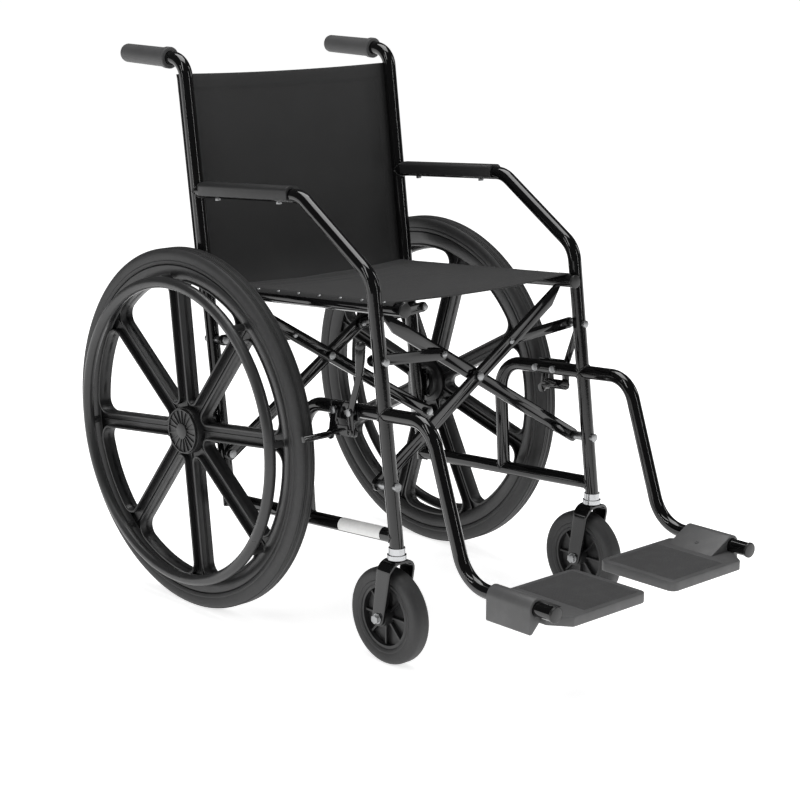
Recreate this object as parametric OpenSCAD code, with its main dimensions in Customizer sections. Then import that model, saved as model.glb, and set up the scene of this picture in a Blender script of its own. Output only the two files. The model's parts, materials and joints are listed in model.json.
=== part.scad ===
// Manual folding wheelchair with large self-propelled rear wheels.
// Front faces -Y, +Z is up, and the origin is the centre of the footprint on the floor.
// Side pieces are drawn for the left side (+X) and mirrored for the right side.
// In the side view, s runs forward and h runs up, both from the rear axle, in the tilted frame.

/* [Overall] */
// Distance between the centre planes of the two side frames
frame_w = 444; // [400:2:540]
// Upward tilt of the seat frame towards the front, in degrees
frame_pitch = 4; // [2:0.5:6]

/* [Frame tubes] */
// Outside diameter of the frame tubes
tube_d = 22.2; // [19:0.1:26]
// Wall of the frame tubes
tube_wall = 1.6; // [1.2:0.1:2.4]
// Outside diameter of the seat rails
rail_d = 20; // [17:0.5:22]
// Radius of the tight bends, to the centre line
bend_r = 48; // [40:1:58]
// Radius of the bend into the push handle, to the centre line
handle_bend_r = 33; // [30:1:37]
// Radius of the wide bend at the foot of the leg tube, to the centre line
foot_bend_r = 64; // [50:1:76]

/* [Side frame] */
// Centre of the back post ahead of the axle, at axle height
back_post_s = 15.1; // [13:0.1:18]
// Backward lean of the back post, in degrees, in the tilted frame
back_rake = 3.65; // [2:0.05:5]
// Centre of the front post ahead of the axle, at axle height
front_post_s = 426.6; // [415:0.2:512]
// Backward lean of the front post, in degrees, in the tilted frame
front_rake = 3.75; // [2:0.05:5]
// Centre of the middle post ahead of the axle
mid_post_s = 230; // [192:1:270]
// Depth of the lower rail below the axle
rail_drop = 124; // [103:1:126]
// Height of the brake tube above the axle
brake_tube_rise = 64; // [54:1:77]
// Height of the armrest tube above the axle
armrest_rise = 387; // [340:1:440]
// Level length of the armrest tube ahead of the axle
armrest_len = 253; // [215:1:285]
// Height where the sloping front of the armrest meets the front post
armrest_knee = 270; // [250:1:300]
// Height of the push handle above the axle, where its tube leaves the back post
handle_rise = 597; // [500:1:716]
// Length of the handle tube behind the back post
handle_len = 155; // [150:1:190]
// Rise of the handle tube towards the back, in degrees, in the tilted frame
handle_rise_angle = 4.9; // [3:0.1:7]
// Length of the push grips
grip_len = 122; // [90:1:124]

/* [Legs and footplates] */
// Reach of the leg tube ahead of the axle, at its upper bend
knee_u = 516; // [512:1:560]
// Height of the leg tube above the floor, at its upper bend
knee_z = 400; // [396:1:408]
// Reach of the leg tube ahead of the axle, at its lower bend
ankle_u = 597; // [580:1:640]
// Height of the foot tube above the floor
foot_z = 168; // [160:1:185]
// Length of the straight foot tube ahead of the lower bend
foot_len = 176; // [165:1:200]
// Length of a footplate, front to back
plate_len = 150; // [130:1:155]
// Width of a footplate, from the foot tube's centre inwards
plate_w = 192; // [160:1:196]
// Thickness of a footplate
plate_t = 16; // [12:1:18]
// Length of the hinge block round the foot tube
block_len = 88; // [80:1:100]

/* [Rear wheels] */
// Diameter over the rear tyre
wheel_d = 600; // [500:2:720]
// Width of the rear tyre
tyre_w = 33; // [27:0.5:40]
// Radial height of the rear tyre
tyre_h = 26; // [22:0.5:31]
// Distance from the side frame's centre plane to the wheel's centre plane
wheel_gap = 50.5; // [49:0.5:60]
// Number of spokes
spokes = 8; // [6:1:10]
// Turn of the right wheel's first spoke ahead of upright, in degrees
right_turn = -2.2; // [-45:0.2:45]
// Turn of the left wheel's first spoke ahead of upright, in degrees
left_turn = 21.2; // [-45:0.2:45]
// Radius of the handrim tube
handrim_r = 9.25; // [8:0.25:11]
// Distance from the tyre's outside to the handrim's centre circle
handrim_inset = 53; // [50:1:56]
// Distance from the wheel's centre plane to the handrim's centre plane
handrim_out = 35; // [32:0.5:42]
// Radius of the axle
axle_r = 6; // [5:0.5:7]
// Outside radius of the wheel bearings
bearing_r = 14; // [12:0.5:16]

/* [Casters] */
// Diameter over the caster tyre
caster_d = 155; // [130:1:186]
// Width of the caster tyre
caster_w = 30; // [25:0.5:36]
// Distance of the caster's axle behind its swivel axis
caster_trail = 15; // [12:0.5:24]
// Radius of the swivel stem
stem_r = 6; // [5:0.5:7]

/* [Cross brace] */
// Depth of the lower brace pivots below the axle
pivot_drop = 46; // [38:1:55]
// Height of the crossing point above the axle
cross_rise = 88; // [80:1:96]
// Width of the flat bars of the brace
bar_w = 22; // [19:0.5:24]
// Thickness of the flat bars of the brace
bar_t = 5; // [4:0.25:5.5]
// Distance of the seat rail beyond the crossing point, along its arm
rail_reach = 229; // [225:0.5:230]
// Height of the seat rail above its arm's centre line
rail_lift = 15; // [14:0.5:18]
// Distance of the link's bolt from the crossing point, along its arm
link_reach = 88.8; // [80:0.2:100]
// Length of the seat rail
rail_len = 420; // [360:1:428]

/* [Brake] */
// Gap between the brake rod and the tyre when the brake is off
brake_gap = 8; // [6:0.5:10]
// Radius of the brake rod
brake_rod_r = 5; // [4:0.25:6]
// Thickness of the brake's steel plates
brake_t = 3; // [2.5:0.1:3.4]

/* [Slings] */
// Thickness of the seat and back slings
sling_t = 2.6; // [2:0.1:3]
// Lower edge of the back sling above the axle
back_low = 212; // [200:1:260]
// Upper edge of the back sling above the axle
back_top = 564; // [440:1:564]

/* [Hidden] */
$fn = 64;
gap = 0.3;
fit = 0.05;
tuck = 0.6;
tube_r = tube_d / 2;
tube_in = tube_r - tube_wall;
rail_r = rail_d / 2;
side_x = frame_w / 2;
axle_z = wheel_d / 2;
wheel_x = side_x + wheel_gap;

// Side view of the tilted frame against the floor
tilt_s = sin(frame_pitch);
tilt_c = cos(frame_pitch);
function floor_u(s, h) = s * tilt_c - h * tilt_s;
function floor_z(s, h) = axle_z + s * tilt_s + h * tilt_c;
function back_s(h) = back_post_s - tan(back_rake) * h;
function front_s(h) = front_post_s - tan(front_rake) * h;

// Caster and headset
caster_r = caster_d / 2;
crown_t = 5;
crown_z = caster_d + 12;
cup_h = 18;
cup_r = tube_r + 4;
cup_z = crown_z + crown_t + gap;
post_foot_z = cup_z + cup_h;
post_foot_h = (post_foot_z - axle_z - front_post_s * tilt_s) / (tilt_c - tan(front_rake) * tilt_s);
swivel_u = floor_u(front_s(post_foot_h), post_foot_h);
caster_u = swivel_u - caster_trail;
fork_in = caster_w / 2 + 7;
fork_t = 4.5;
caster_axle_r = 4;
caster_rim_r = caster_r - 26;

// Leg tube and footplate
foot_end_u = ankle_u + foot_len;
cap_t = 5;
plate_rear_u = foot_end_u - plate_len + 10;
plate_front_u = plate_rear_u + plate_len;
plate_top_z = foot_z - 8;
block_u = foot_end_u - block_len - 32;
block_r = tube_r + 5;
front_reach = max(plate_front_u, foot_end_u + cap_t);
axle_y = (front_reach - wheel_d / 2) / 2;

// Cross brace
arm_half = norm([side_x, cross_rise + pivot_drop]);
arm_angle = atan2(cross_rise + pivot_drop, side_x);
fold_angle = 36;
rail_x = rail_reach * cos(arm_angle) - rail_lift * sin(arm_angle);
rail_h = cross_rise + rail_reach * sin(arm_angle) + rail_lift * cos(arm_angle);
arm_end = rail_reach + 9;
pivot_r = 4;
brace_gap = 1;
// Front faces of the rearmost arm of each pair
front_plane_s = front_s(165) - tube_r - 3 * brace_gap - 2 * bar_t;
rear_plane_s = back_s(-pivot_drop - 12) + tube_r + brace_gap;
rail_start_s = 18;
link_w = 18;
link_t = 4;
link_x = (arm_half - link_reach) * cos(arm_angle);
link_end_h = (arm_half + link_reach) * sin(arm_angle) - pivot_drop;
folded_x = (arm_half - link_reach) * cos(arm_angle + fold_angle);
folded_h = (arm_half + link_reach) * sin(arm_angle + fold_angle) - pivot_drop;
// Height of the link's pivot, so that the link has one length with the chair open and folded
link_pivot_h = (folded_x^2 + folded_h^2 - link_x^2 - link_end_h^2) / (2 * (folded_h - link_end_h));

// Brake, placed round the front of the tyre
brake_rod_reach = axle_z + brake_gap + brake_rod_r;
brake_rod_h = 24;
brake_rod_s = sqrt(brake_rod_reach^2 - brake_rod_h^2);
shoe_pivot_s = brake_rod_s + 13;
lever_pivot_s = shoe_pivot_s + 40;
brake_pivot_r = 3;
bracket_x = side_x + tube_r - 2;
shoe_x = bracket_x + 2 + brake_t + gap;
lever_x = shoe_x + brake_t + gap;
lever_foot_h = brake_tube_rise - 31;

// Rear wheel
rim_out = axle_z - tyre_h;
handrim_ring = axle_z - handrim_inset;
rim_in = handrim_ring - 1;
rim_half = tyre_w / 2 - 2;
hub_r = 39;
hub_in = 22;
hub_out = 17;
cap_out = 21;
cap_r = 37;
fins = 18;
bearing_w = 9;

// Slings
seat_h = rail_h + rail_r + gap;
seat_half = rail_x + rail_r;
back_off = tube_r + gap;

// ---- Placing ----

// The tilted frame: children are drawn at [x, -s, h]
module frame_space() {
    translate([0, axle_y, axle_z]) rotate([-frame_pitch, 0, 0]) children();
}

// The level space of the casters and feet: children are drawn at [x, -u, z]
module floor_space() {
    translate([0, axle_y, 0]) children();
}

// side is 1 for the left of the chair and -1 for the right
module on_side(side) {
    if (side > 0) children();
    else mirror([1, 0, 0]) children();
}

// Turns a drawing in (s, h) or (u, z) into the upright plane at x
module side_plane(x) {
    translate([x, 0, 0]) rotate([90, 0, -90]) children();
}

// Extrudes a side view outline from x0 to x1
module side_plate(x0, x1) {
    side_plane(x0) mirror([0, 0, 1]) linear_extrude(x1 - x0) children();
}

// Extrudes a front view outline, drawn in (x, h), from s0 forward to s1
module front_plate(s0, s1) {
    translate([0, -s0, 0]) rotate([90, 0, 0]) linear_extrude(s1 - s0) children();
}

module bar_between(p, q, r) {
    d = q - p;
    translate([p.x, p.y, 0]) rotate([0, 0, atan2(d.y, d.x)]) rotate([0, 90, 0]) cylinder(r = r, h = norm(d));
}

// ---- Bent tubes, in the side plane ----

function unit(v) = v / norm(v);
function cross_z(a, b) = a.x * b.y - a.y * b.x;
function turn(p, i) =
    let (a = unit(p[i] - p[i - 1]), b = unit(p[i + 1] - p[i]))
    atan2(cross_z(a, b), a * b);
function setback(p, i, r) = r * tan(abs(turn(p, i)) / 2);
function leave(p, i, r) =
    i == 0 ? p[0] : p[i] + unit(p[i + 1] - p[i]) * setback(p, i, r[i]);
function arrive(p, i, r) =
    i == len(p) - 1 ? p[i] : p[i] - unit(p[i] - p[i - 1]) * setback(p, i, r[i]);

module ring_2d(r_out, r_in) {
    difference() {
        circle(r_out);
        if (r_in > 0) circle(r_in);
    }
}

// p holds the corners of the centre line and r the bend radius at each of them.
// The bends are a hair thicker than the straights, which run a little way into them.
module bent_tube(p, r, r_out, r_in) {
    swell = 0.06;
    for (i = [0:len(p) - 2]) {
        a = leave(p, i, r);
        b = arrive(p, i + 1, r);
        d = unit(b - a);
        lead = i == 0 ? 0 : tuck;
        tail = i == len(p) - 2 ? 0 : tuck;
        start = a - d * lead;
        translate([start.x, start.y, 0]) rotate([0, 0, atan2(d.y, d.x)]) rotate([0, 90, 0])
            linear_extrude(norm(b - a) + lead + tail) ring_2d(r_out, r_in);
    }
    if (len(p) > 2) for (i = [1:len(p) - 2]) {
        t = turn(p, i);
        a = arrive(p, i, r);
        along = unit(p[i] - p[i - 1]);
        c = a + [-along.y, along.x] * sign(t) * r[i];
        first = t > 0 ? a : leave(p, i, r);
        translate([c.x, c.y, 0]) rotate([0, 0, atan2(first.y - c.y, first.x - c.x)])
            rotate_extrude(angle = abs(t)) translate([r[i], 0])
                ring_2d(r_out + swell, r_in > 0 ? r_in - swell : 0);
    }
}

// ---- Centre lines of the side frame ----

back_foot_h = -rail_drop - tube_r;
back_line = [
    [back_s(back_foot_h), back_foot_h],
    [back_s(handle_rise), handle_rise],
    [back_s(handle_rise) - handle_len * cos(handle_rise_angle), handle_rise + handle_len * sin(handle_rise_angle)]
];
armrest_line = [
    [back_s(armrest_rise), armrest_rise],
    [armrest_len, armrest_rise],
    [front_s(armrest_knee), armrest_knee],
    [front_s(post_foot_h - 10), post_foot_h - 10]
];
brake_line = [
    [mid_post_s, -rail_drop],
    [mid_post_s, brake_tube_rise],
    [front_s(brake_tube_rise), brake_tube_rise]
];
leg_line = [
    [floor_u(front_s(brake_tube_rise), brake_tube_rise), floor_z(front_s(brake_tube_rise), brake_tube_rise)],
    [knee_u, knee_z + axle_z - 300],
    [ankle_u, foot_z],
    [foot_end_u, foot_z]
];

module back_post_solid(r = tube_r) {
    top_h = handle_rise - handle_bend_r;
    side_plane(side_x) bar_between([back_s(-300), -300], [back_s(top_h), top_h], r);
}

module front_post_solid(r = tube_r) {
    side_plane(side_x) bar_between([front_s(-220), -220], [front_s(220), 220], r);
}

module lower_rail_solid(r = tube_r) {
    side_plane(side_x) bar_between([back_s(-rail_drop), -rail_drop], [front_s(-rail_drop), -rail_drop], r);
}

// ---- Bolts of the side frame ----

// A bolt along s at height h, from s0 at the back to s1 at the front
module bolt_s(h, s0, s1, r) {
    translate([side_x, -s0, h]) rotate([90, 0, 0]) cylinder(r = r, h = s1 - s0);
}

// A bolt along x
module bolt_x(s, h, x0, x1, r) {
    side_plate(x0, x1) translate([s, h]) circle(r);
}

sling_screws = [back_low + 25, (back_low + back_top) / 2, back_top - 25];
pad_start_s = 8;
pad_end_s = armrest_len - 20;
pad_screws = [pad_start_s + 35, pad_end_s - 35];

// Which arm a side carries at its lower pivots: the left side holds arms b, the right side arms a
function lower_front_s(side) = side > 0 ? front_plane_s : front_plane_s + bar_t + brace_gap;
function lower_rear_s(side) = side > 0 ? rear_plane_s + bar_t + brace_gap : rear_plane_s;
function link_front_s(side) = side > 0 ? front_plane_s : front_plane_s + bar_t + brace_gap;
function link_rear_s(side) = side > 0 ? rear_plane_s + bar_t + brace_gap : rear_plane_s;

module pivot_shanks(side) {
    bolt_s(-pivot_drop, lower_front_s(side) - 1, front_s(-pivot_drop) + tube_r + 1, pivot_r);
    bolt_s(-pivot_drop, back_s(-pivot_drop) - tube_r - 1, lower_rear_s(side) + bar_t + 1, pivot_r);
    bolt_s(link_pivot_h, link_front_s(side) - 1, front_s(link_pivot_h) + tube_r + 1, pivot_r);
    bolt_s(link_pivot_h, back_s(link_pivot_h) - tube_r - 1, link_rear_s(side) + bar_t + 1, pivot_r);
}

module pivot_ends(side) {
    head = 7;
    bolt_s(-pivot_drop, lower_front_s(side) - 5, lower_front_s(side) - gap, head);
    bolt_s(-pivot_drop, lower_front_s(side) + bar_t + gap, front_s(-pivot_drop), head);
    bolt_s(-pivot_drop, front_s(-pivot_drop), front_s(-pivot_drop) + tube_r + 4, head);
    bolt_s(-pivot_drop, back_s(-pivot_drop), lower_rear_s(side) - gap, head);
    bolt_s(-pivot_drop, lower_rear_s(side) + bar_t + gap, lower_rear_s(side) + bar_t + 5, head);
    bolt_s(-pivot_drop, back_s(-pivot_drop) - tube_r - 4, back_s(-pivot_drop), head);
    bolt_s(link_pivot_h, link_front_s(side) - 4.5, link_front_s(side) - gap, head - 1);
    bolt_s(link_pivot_h, link_front_s(side) + bar_t + gap, front_s(link_pivot_h), head - 1);
    bolt_s(link_pivot_h, front_s(link_pivot_h), front_s(link_pivot_h) + tube_r + 4, head - 1);
    bolt_s(link_pivot_h, back_s(link_pivot_h), link_rear_s(side) - gap, head - 1);
    bolt_s(link_pivot_h, link_rear_s(side) + bar_t + gap, link_rear_s(side) + bar_t + 4.5, head - 1);
    bolt_s(link_pivot_h, back_s(link_pivot_h) - tube_r - 4, back_s(link_pivot_h), head - 1);
}

module brake_shanks() {
    bolt_x(shoe_pivot_s, brake_tube_rise, side_x - tube_r - 1, shoe_x + brake_t + 1, brake_pivot_r);
    bolt_x(lever_pivot_s, brake_tube_rise, side_x - tube_r - 1, lever_x + brake_t + 1, brake_pivot_r);
}

module brake_ends() {
    head = 6;
    bolt_x(shoe_pivot_s, brake_tube_rise, side_x - tube_r - 4, side_x, head);
    bolt_x(lever_pivot_s, brake_tube_rise, side_x - tube_r - 4, side_x, head);
    bolt_x(shoe_pivot_s, brake_tube_rise, shoe_x + brake_t + gap, shoe_x + brake_t + 4, head);
    bolt_x(lever_pivot_s, brake_tube_rise, bracket_x + 2 + brake_t, lever_x - gap, head);
    bolt_x(lever_pivot_s, brake_tube_rise, lever_x + brake_t + gap, lever_x + brake_t + 4, head);
}

module sling_screw_shanks() {
    for (h = sling_screws) {
        bolt_s(h, back_s(h) - tube_r - gap - sling_t - 1, back_s(h), 2.5);
    }
}

module sling_screw_heads() {
    for (h = sling_screws) {
        bolt_s(h, back_s(h) - tube_r - gap - sling_t - 3.4, back_s(h) - tube_r - gap - sling_t - 0.6, 5);
    }
}

module pad_screw_shanks() {
    for (s = pad_screws) {
        translate([side_x, -s, armrest_rise - tube_r - 1]) cylinder(r = 2, h = 2 * tube_r + 2.5);
    }
}

module pad_screw_heads() {
    for (s = pad_screws) {
        translate([side_x, -s, armrest_rise - tube_r - 3]) cylinder(r = 4.5, h = 4);
    }
}

// ---- Side frame tubes ----

module back_post(side) {
    color("#141414") on_side(side) frame_space() difference() {
        side_plane(side_x) bent_tube(back_line, [0, handle_bend_r, 0], tube_r, tube_in);
        pivot_shanks(side);
        sling_screw_shanks();
    }
}

module armrest_tube(side) {
    color("#141414") on_side(side) difference() {
        frame_space() difference() {
            side_plane(side_x) bent_tube(armrest_line, [0, bend_r, bend_r, 0], tube_r, tube_in);
            back_post_solid();
            pivot_shanks(side);
            pad_screw_shanks();
        }
        translate([side_x - 40, axle_y - swivel_u - 60, post_foot_z - 60]) cube([80, 120, 60]);
    }
}

module brake_tube(side) {
    color("#141414") on_side(side) frame_space() difference() {
        side_plane(side_x) bent_tube(brake_line, [0, bend_r, 0], tube_r, tube_in);
        lower_rail_solid();
        front_post_solid();
        brake_shanks();
    }
}

module lower_rail(side) {
    color("#141414") on_side(side) frame_space() difference() {
        side_plane(side_x) bent_tube(
            [[back_s(-rail_drop), -rail_drop], [front_s(-rail_drop), -rail_drop]],
            [0, 0], tube_r, tube_in);
        back_post_solid();
        front_post_solid();
    }
}

module leg_tube(side) {
    color("#141414") on_side(side) difference() {
        floor_space() side_plane(side_x) bent_tube(leg_line, [0, bend_r, foot_bend_r, 0], tube_r, tube_in);
        frame_space() front_post_solid(tube_r + 0.02);
    }
}

module foot_tube_cap(side) {
    color("#2a2a2a") on_side(side) floor_space() translate([side_x, -foot_end_u, foot_z]) rotate([90, 0, 0]) {
        cylinder(r = tube_r + 1.2, h = cap_t);
        translate([0, 0, -14]) cylinder(r = tube_in, h = 15);
    }
}

// ---- Grips and pads ----

module push_grip(side) {
    color("#474747") on_side(side) frame_space()
        translate([side_x, -back_line[2].x, back_line[2].y]) rotate([handle_rise_angle - 90, 0, 0]) {
        difference() {
            union() {
                translate([0, 0, 4 - grip_len]) cylinder(r = tube_r + 6.5, h = 6);
                translate([0, 0, 4 - grip_len]) cylinder(r = tube_r + 4, h = grip_len - 4);
                for (k = [0:8]) translate([0, 0, 16 - grip_len + 12 * k])
                    cylinder(r = tube_r + 4.8, h = 7);
                cylinder(r1 = tube_r + 4, r2 = tube_r, h = 4);
            }
            translate([0, 0, -grip_len]) cylinder(r = tube_r, h = grip_len);
        }
    }
}

pad_half = tube_r + 2.4;
pad_top = tube_r + 4;

module armrest_pad(side) {
    round = 7;
    color("#3c3c3c") on_side(side) frame_space() difference() {
        front_plate(pad_start_s, pad_end_s) translate([side_x, armrest_rise]) {
            translate([-pad_half, -4]) square([2 * pad_half, 4 + pad_top - round]);
            translate([round - pad_half, 0]) square([2 * (pad_half - round), pad_top]);
            for (m = [-1, 1]) translate([m * (pad_half - round), pad_top - round]) circle(round);
        }
        side_plane(side_x) bar_between([pad_start_s - 5, armrest_rise], [pad_end_s + 5, armrest_rise], tube_r);
        pad_screw_shanks();
    }
}

// ---- Brackets, bolts, axle and headset of the side frame ----

module brackets(side) {
    lift = 13;
    color("#1c1c1c") on_side(side) frame_space() {
        // Axle plate, notched over the back post
        difference() {
            side_plate(bracket_x, bracket_x + 6) {
                translate([-18, -20]) square([50, 40]);
                translate([-10, -28]) square([34, 56]);
            }
            back_post_solid();
            bolt_x(0, 0, bracket_x - 1, bracket_x + 8, axle_r);
        }
        // Brake bracket, notched over the brake tube
        difference() {
            side_plate(bracket_x, bracket_x + 2 + brake_t) {
                translate([shoe_pivot_s - 10, brake_tube_rise - lift]) square([60, 2 * lift]);
            }
            side_plane(side_x) bar_between(
                [shoe_pivot_s - 60, brake_tube_rise], [lever_pivot_s + 60, brake_tube_rise], tube_r);
            brake_shanks();
        }
    }
}

module frame_bolts(side) {
    color("#b9bcc0") on_side(side) frame_space() {
        pivot_shanks(side);
        difference() {
            pivot_ends(side);
            front_post_solid();
            back_post_solid();
        }
        brake_shanks();
        difference() {
            brake_ends();
            side_plane(side_x) bar_between(
                [shoe_pivot_s - 40, brake_tube_rise], [lever_pivot_s + 40, brake_tube_rise], tube_r);
        }
        sling_screw_shanks();
        sling_screw_heads();
        pad_screw_shanks();
        difference() {
            pad_screw_heads();
            side_plane(side_x) bar_between([0, armrest_rise], [armrest_len, armrest_rise], tube_r);
        }
    }
}

module axle(side) {
    plate_x = bracket_x + 6;
    color("#b9bcc0") on_side(side) frame_space() {
        bolt_x(0, 0, bracket_x, wheel_x + hub_out - 3, axle_r);
        side_plate(plate_x, plate_x + 6) circle(r = 11, $fn = 6);
        bolt_x(0, 0, plate_x + 6, wheel_x - hub_in + 2, axle_r + 3);
        bolt_x(0, 0, wheel_x - hub_in + 2, wheel_x - hub_in + 2 + bearing_w, bearing_r);
        bolt_x(0, 0, wheel_x + hub_out - 8 - bearing_w, wheel_x + hub_out - 8, bearing_r);
        side_plate(wheel_x + hub_out - 8, wheel_x + hub_out - 3) circle(r = 10, $fn = 6);
    }
}

module headset(side) {
    color("#c9ccd0") on_side(side) floor_space() translate([side_x, -swivel_u, cup_z]) difference() {
        union() {
            cylinder(r = cup_r, h = 7);
            cylinder(r = cup_r - 2, h = cup_h);
        }
        translate([0, 0, -1]) cylinder(r = stem_r + fit, h = cup_h - 1);
    }
}

// ---- Rear wheel ----

// Draws a profile in (radius, x) round the rear axle, from the wheel's centre plane
module about_axle() {
    translate([wheel_x, 0, 0]) rotate([0, 90, 0]) children();
}

function spoke_angle(side, k) = 360 / spokes * k + (side > 0 ? left_turn : right_turn);

module tyre(side) {
    shoulder = 9;
    color("#3c3c3c") on_side(side) frame_space() about_axle() rotate_extrude() difference() {
        union() {
            translate([rim_out, -tyre_w / 2]) square([tyre_h - shoulder, tyre_w]);
            translate([rim_out, shoulder - tyre_w / 2]) square([tyre_h, tyre_w - 2 * shoulder]);
            for (m = [-1, 1]) translate([axle_z - shoulder, m * (tyre_w / 2 - shoulder)]) circle(shoulder);
        }
        for (m = [-1, 1]) translate([axle_z - 1, m * 4.5 - 0.75]) square([3, 1.5]);
        translate([0, -tyre_w]) square([rim_out, 2 * tyre_w]);
    }
}

module wheel(side) {
    spoke_w = 26;
    flange = 4;
    depth = 22;
    spoke_end = rim_in + 5;
    color("#2e2e2e") on_side(side) frame_space() difference() {
        union() {
            about_axle() {
                rotate_extrude() translate([rim_in, -rim_half]) square([rim_out - rim_in, 2 * rim_half]);
                translate([0, 0, -hub_in]) cylinder(r = hub_r, h = hub_in + hub_out);
            }
            for (k = [0:spokes - 1]) translate([wheel_x, 0, 0]) rotate([spoke_angle(side, k), 0, 0]) {
                translate([-3, -spoke_w / 2, hub_r - 6]) cube([6, spoke_w, spoke_end - hub_r + 6]);
                for (m = [-1, 1]) translate([-depth / 2, m * (spoke_w - flange) / 2 - flange / 2, hub_r - 6])
                    cube([depth, flange, spoke_end - hub_r + 6]);
            }
        }
        about_axle() {
            translate([0, 0, -hub_in - 1]) cylinder(r = bearing_r + fit, h = 3 + bearing_w + gap);
            translate([0, 0, hub_out - 8 - bearing_w - gap]) cylinder(r = bearing_r + fit, h = 20);
            translate([0, 0, -hub_in]) cylinder(r = axle_r + 4, h = hub_in + hub_out);
        }
    }
}

module handrim(side) {
    stand_r = 6;
    color("#3a3a3a") on_side(side) frame_space() {
        difference() {
            for (k = [0:spokes - 1]) translate([wheel_x, 0, 0]) rotate([spoke_angle(side, k), 0, 0])
                translate([rim_half, 0, handrim_ring + 5]) rotate([0, 90, 0])
                    cylinder(r = stand_r, h = handrim_out - rim_half);
            about_axle() rotate_extrude() translate([handrim_ring, handrim_out]) circle(handrim_r - 1);
        }
        about_axle() rotate_extrude() translate([handrim_ring, handrim_out]) ring_2d(handrim_r, handrim_r - 2);
    }
}

module hub_cap(side) {
    deep = cap_out - hub_out;
    color("#333333") on_side(side) frame_space() about_axle() translate([0, 0, hub_out]) {
        rotate_extrude() {
            translate([11, 0]) square([cap_r - 11, 1.5]);
            translate([cap_r - 2, 0]) square([2, deep]);
            translate([0, 1.5]) square([13, deep - 0.5]);
        }
        for (k = [0:fins - 1]) rotate([0, 0, 360 / fins * k]) translate([12, -0.7, 1])
            cube([cap_r - 13, 1.4, deep - 1.6]);
    }
}

// ---- Casters ----

module caster_fork(side) {
    leg_top = 15;
    leg_foot = 12;
    rise = crown_z - caster_r;
    lean = atan2(caster_trail, rise);
    color("#1a1a1a") on_side(side) floor_space() difference() {
        union() {
            for (m = [-1, 1]) {
                x0 = side_x + (m > 0 ? fork_in : -fork_in - fork_t);
                side_plate(x0, x0 + fork_t) {
                    translate([caster_u, caster_r]) circle(leg_foot);
                    polygon([
                        [caster_u - leg_foot * cos(lean), caster_r + leg_foot * sin(lean)],
                        [swivel_u - leg_top, crown_z + crown_t], [swivel_u + leg_top, crown_z + crown_t],
                        [caster_u + leg_foot * cos(lean), caster_r - leg_foot * sin(lean)]
                    ]);
                }
            }
            translate([side_x - fork_in - fork_t, -swivel_u - leg_top, crown_z])
                cube([2 * (fork_in + fork_t), 2 * leg_top, crown_t]);
            translate([side_x, -swivel_u, crown_z + 1]) cylinder(r = stem_r, h = crown_t + cup_h - 4);
        }
        side_plate(side_x - 60, side_x + 60) translate([caster_u, caster_r]) circle(caster_axle_r);
    }
}

module about_caster() {
    floor_space() translate([side_x, -caster_u, caster_r]) rotate([0, 90, 0]) children();
}

module caster_hub(side) {
    ribs = 8;
    boss_r = 14;
    boss_half = fork_in - gap;
    color("#4a4a4a") on_side(side) about_caster() difference() {
        union() {
            rotate_extrude() translate([caster_rim_r - 5, 2 - caster_w / 2]) square([5, caster_w - 4]);
            translate([0, 0, -2.5]) cylinder(r = caster_rim_r - 4, h = 5);
            translate([0, 0, -boss_half]) cylinder(r = boss_r, h = 2 * boss_half);
            for (k = [0:ribs - 1]) rotate([0, 0, 360 / ribs * k]) translate([boss_r - 2, -1.5, -9])
                cube([caster_rim_r - boss_r - 1, 3, 18]);
        }
        translate([0, 0, -60]) cylinder(r = caster_axle_r + fit, h = 120);
    }
}

module caster_tyre(side) {
    shoulder = 8;
    color("#3a3a3a") on_side(side) about_caster() rotate_extrude() difference() {
        union() {
            translate([caster_rim_r, -caster_w / 2]) square([caster_r - caster_rim_r - shoulder, caster_w]);
            translate([caster_rim_r, shoulder - caster_w / 2])
                square([caster_r - caster_rim_r, caster_w - 2 * shoulder]);
            for (m = [-1, 1]) translate([caster_r - shoulder, m * (caster_w / 2 - shoulder)]) circle(shoulder);
        }
        translate([0, -caster_w]) square([caster_rim_r, 2 * caster_w]);
    }
}

module caster_axle(side) {
    outer = fork_in + fork_t;
    color("#b9bcc0") on_side(side) about_caster() {
        translate([0, 0, -outer - 6]) cylinder(r = caster_axle_r, h = 2 * outer + 12);
        translate([0, 0, outer]) cylinder(r = 8.5, h = 1.5);
        translate([0, 0, outer + 1.5]) cylinder(r = 7.5, h = 5.5, $fn = 6);
        translate([0, 0, -outer - 1.5]) cylinder(r = 8.5, h = 1.5);
        translate([0, 0, -outer - 7]) cylinder(r = 7.5, h = 5.5, $fn = 6);
    }
}

// ---- Footplates ----

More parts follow.
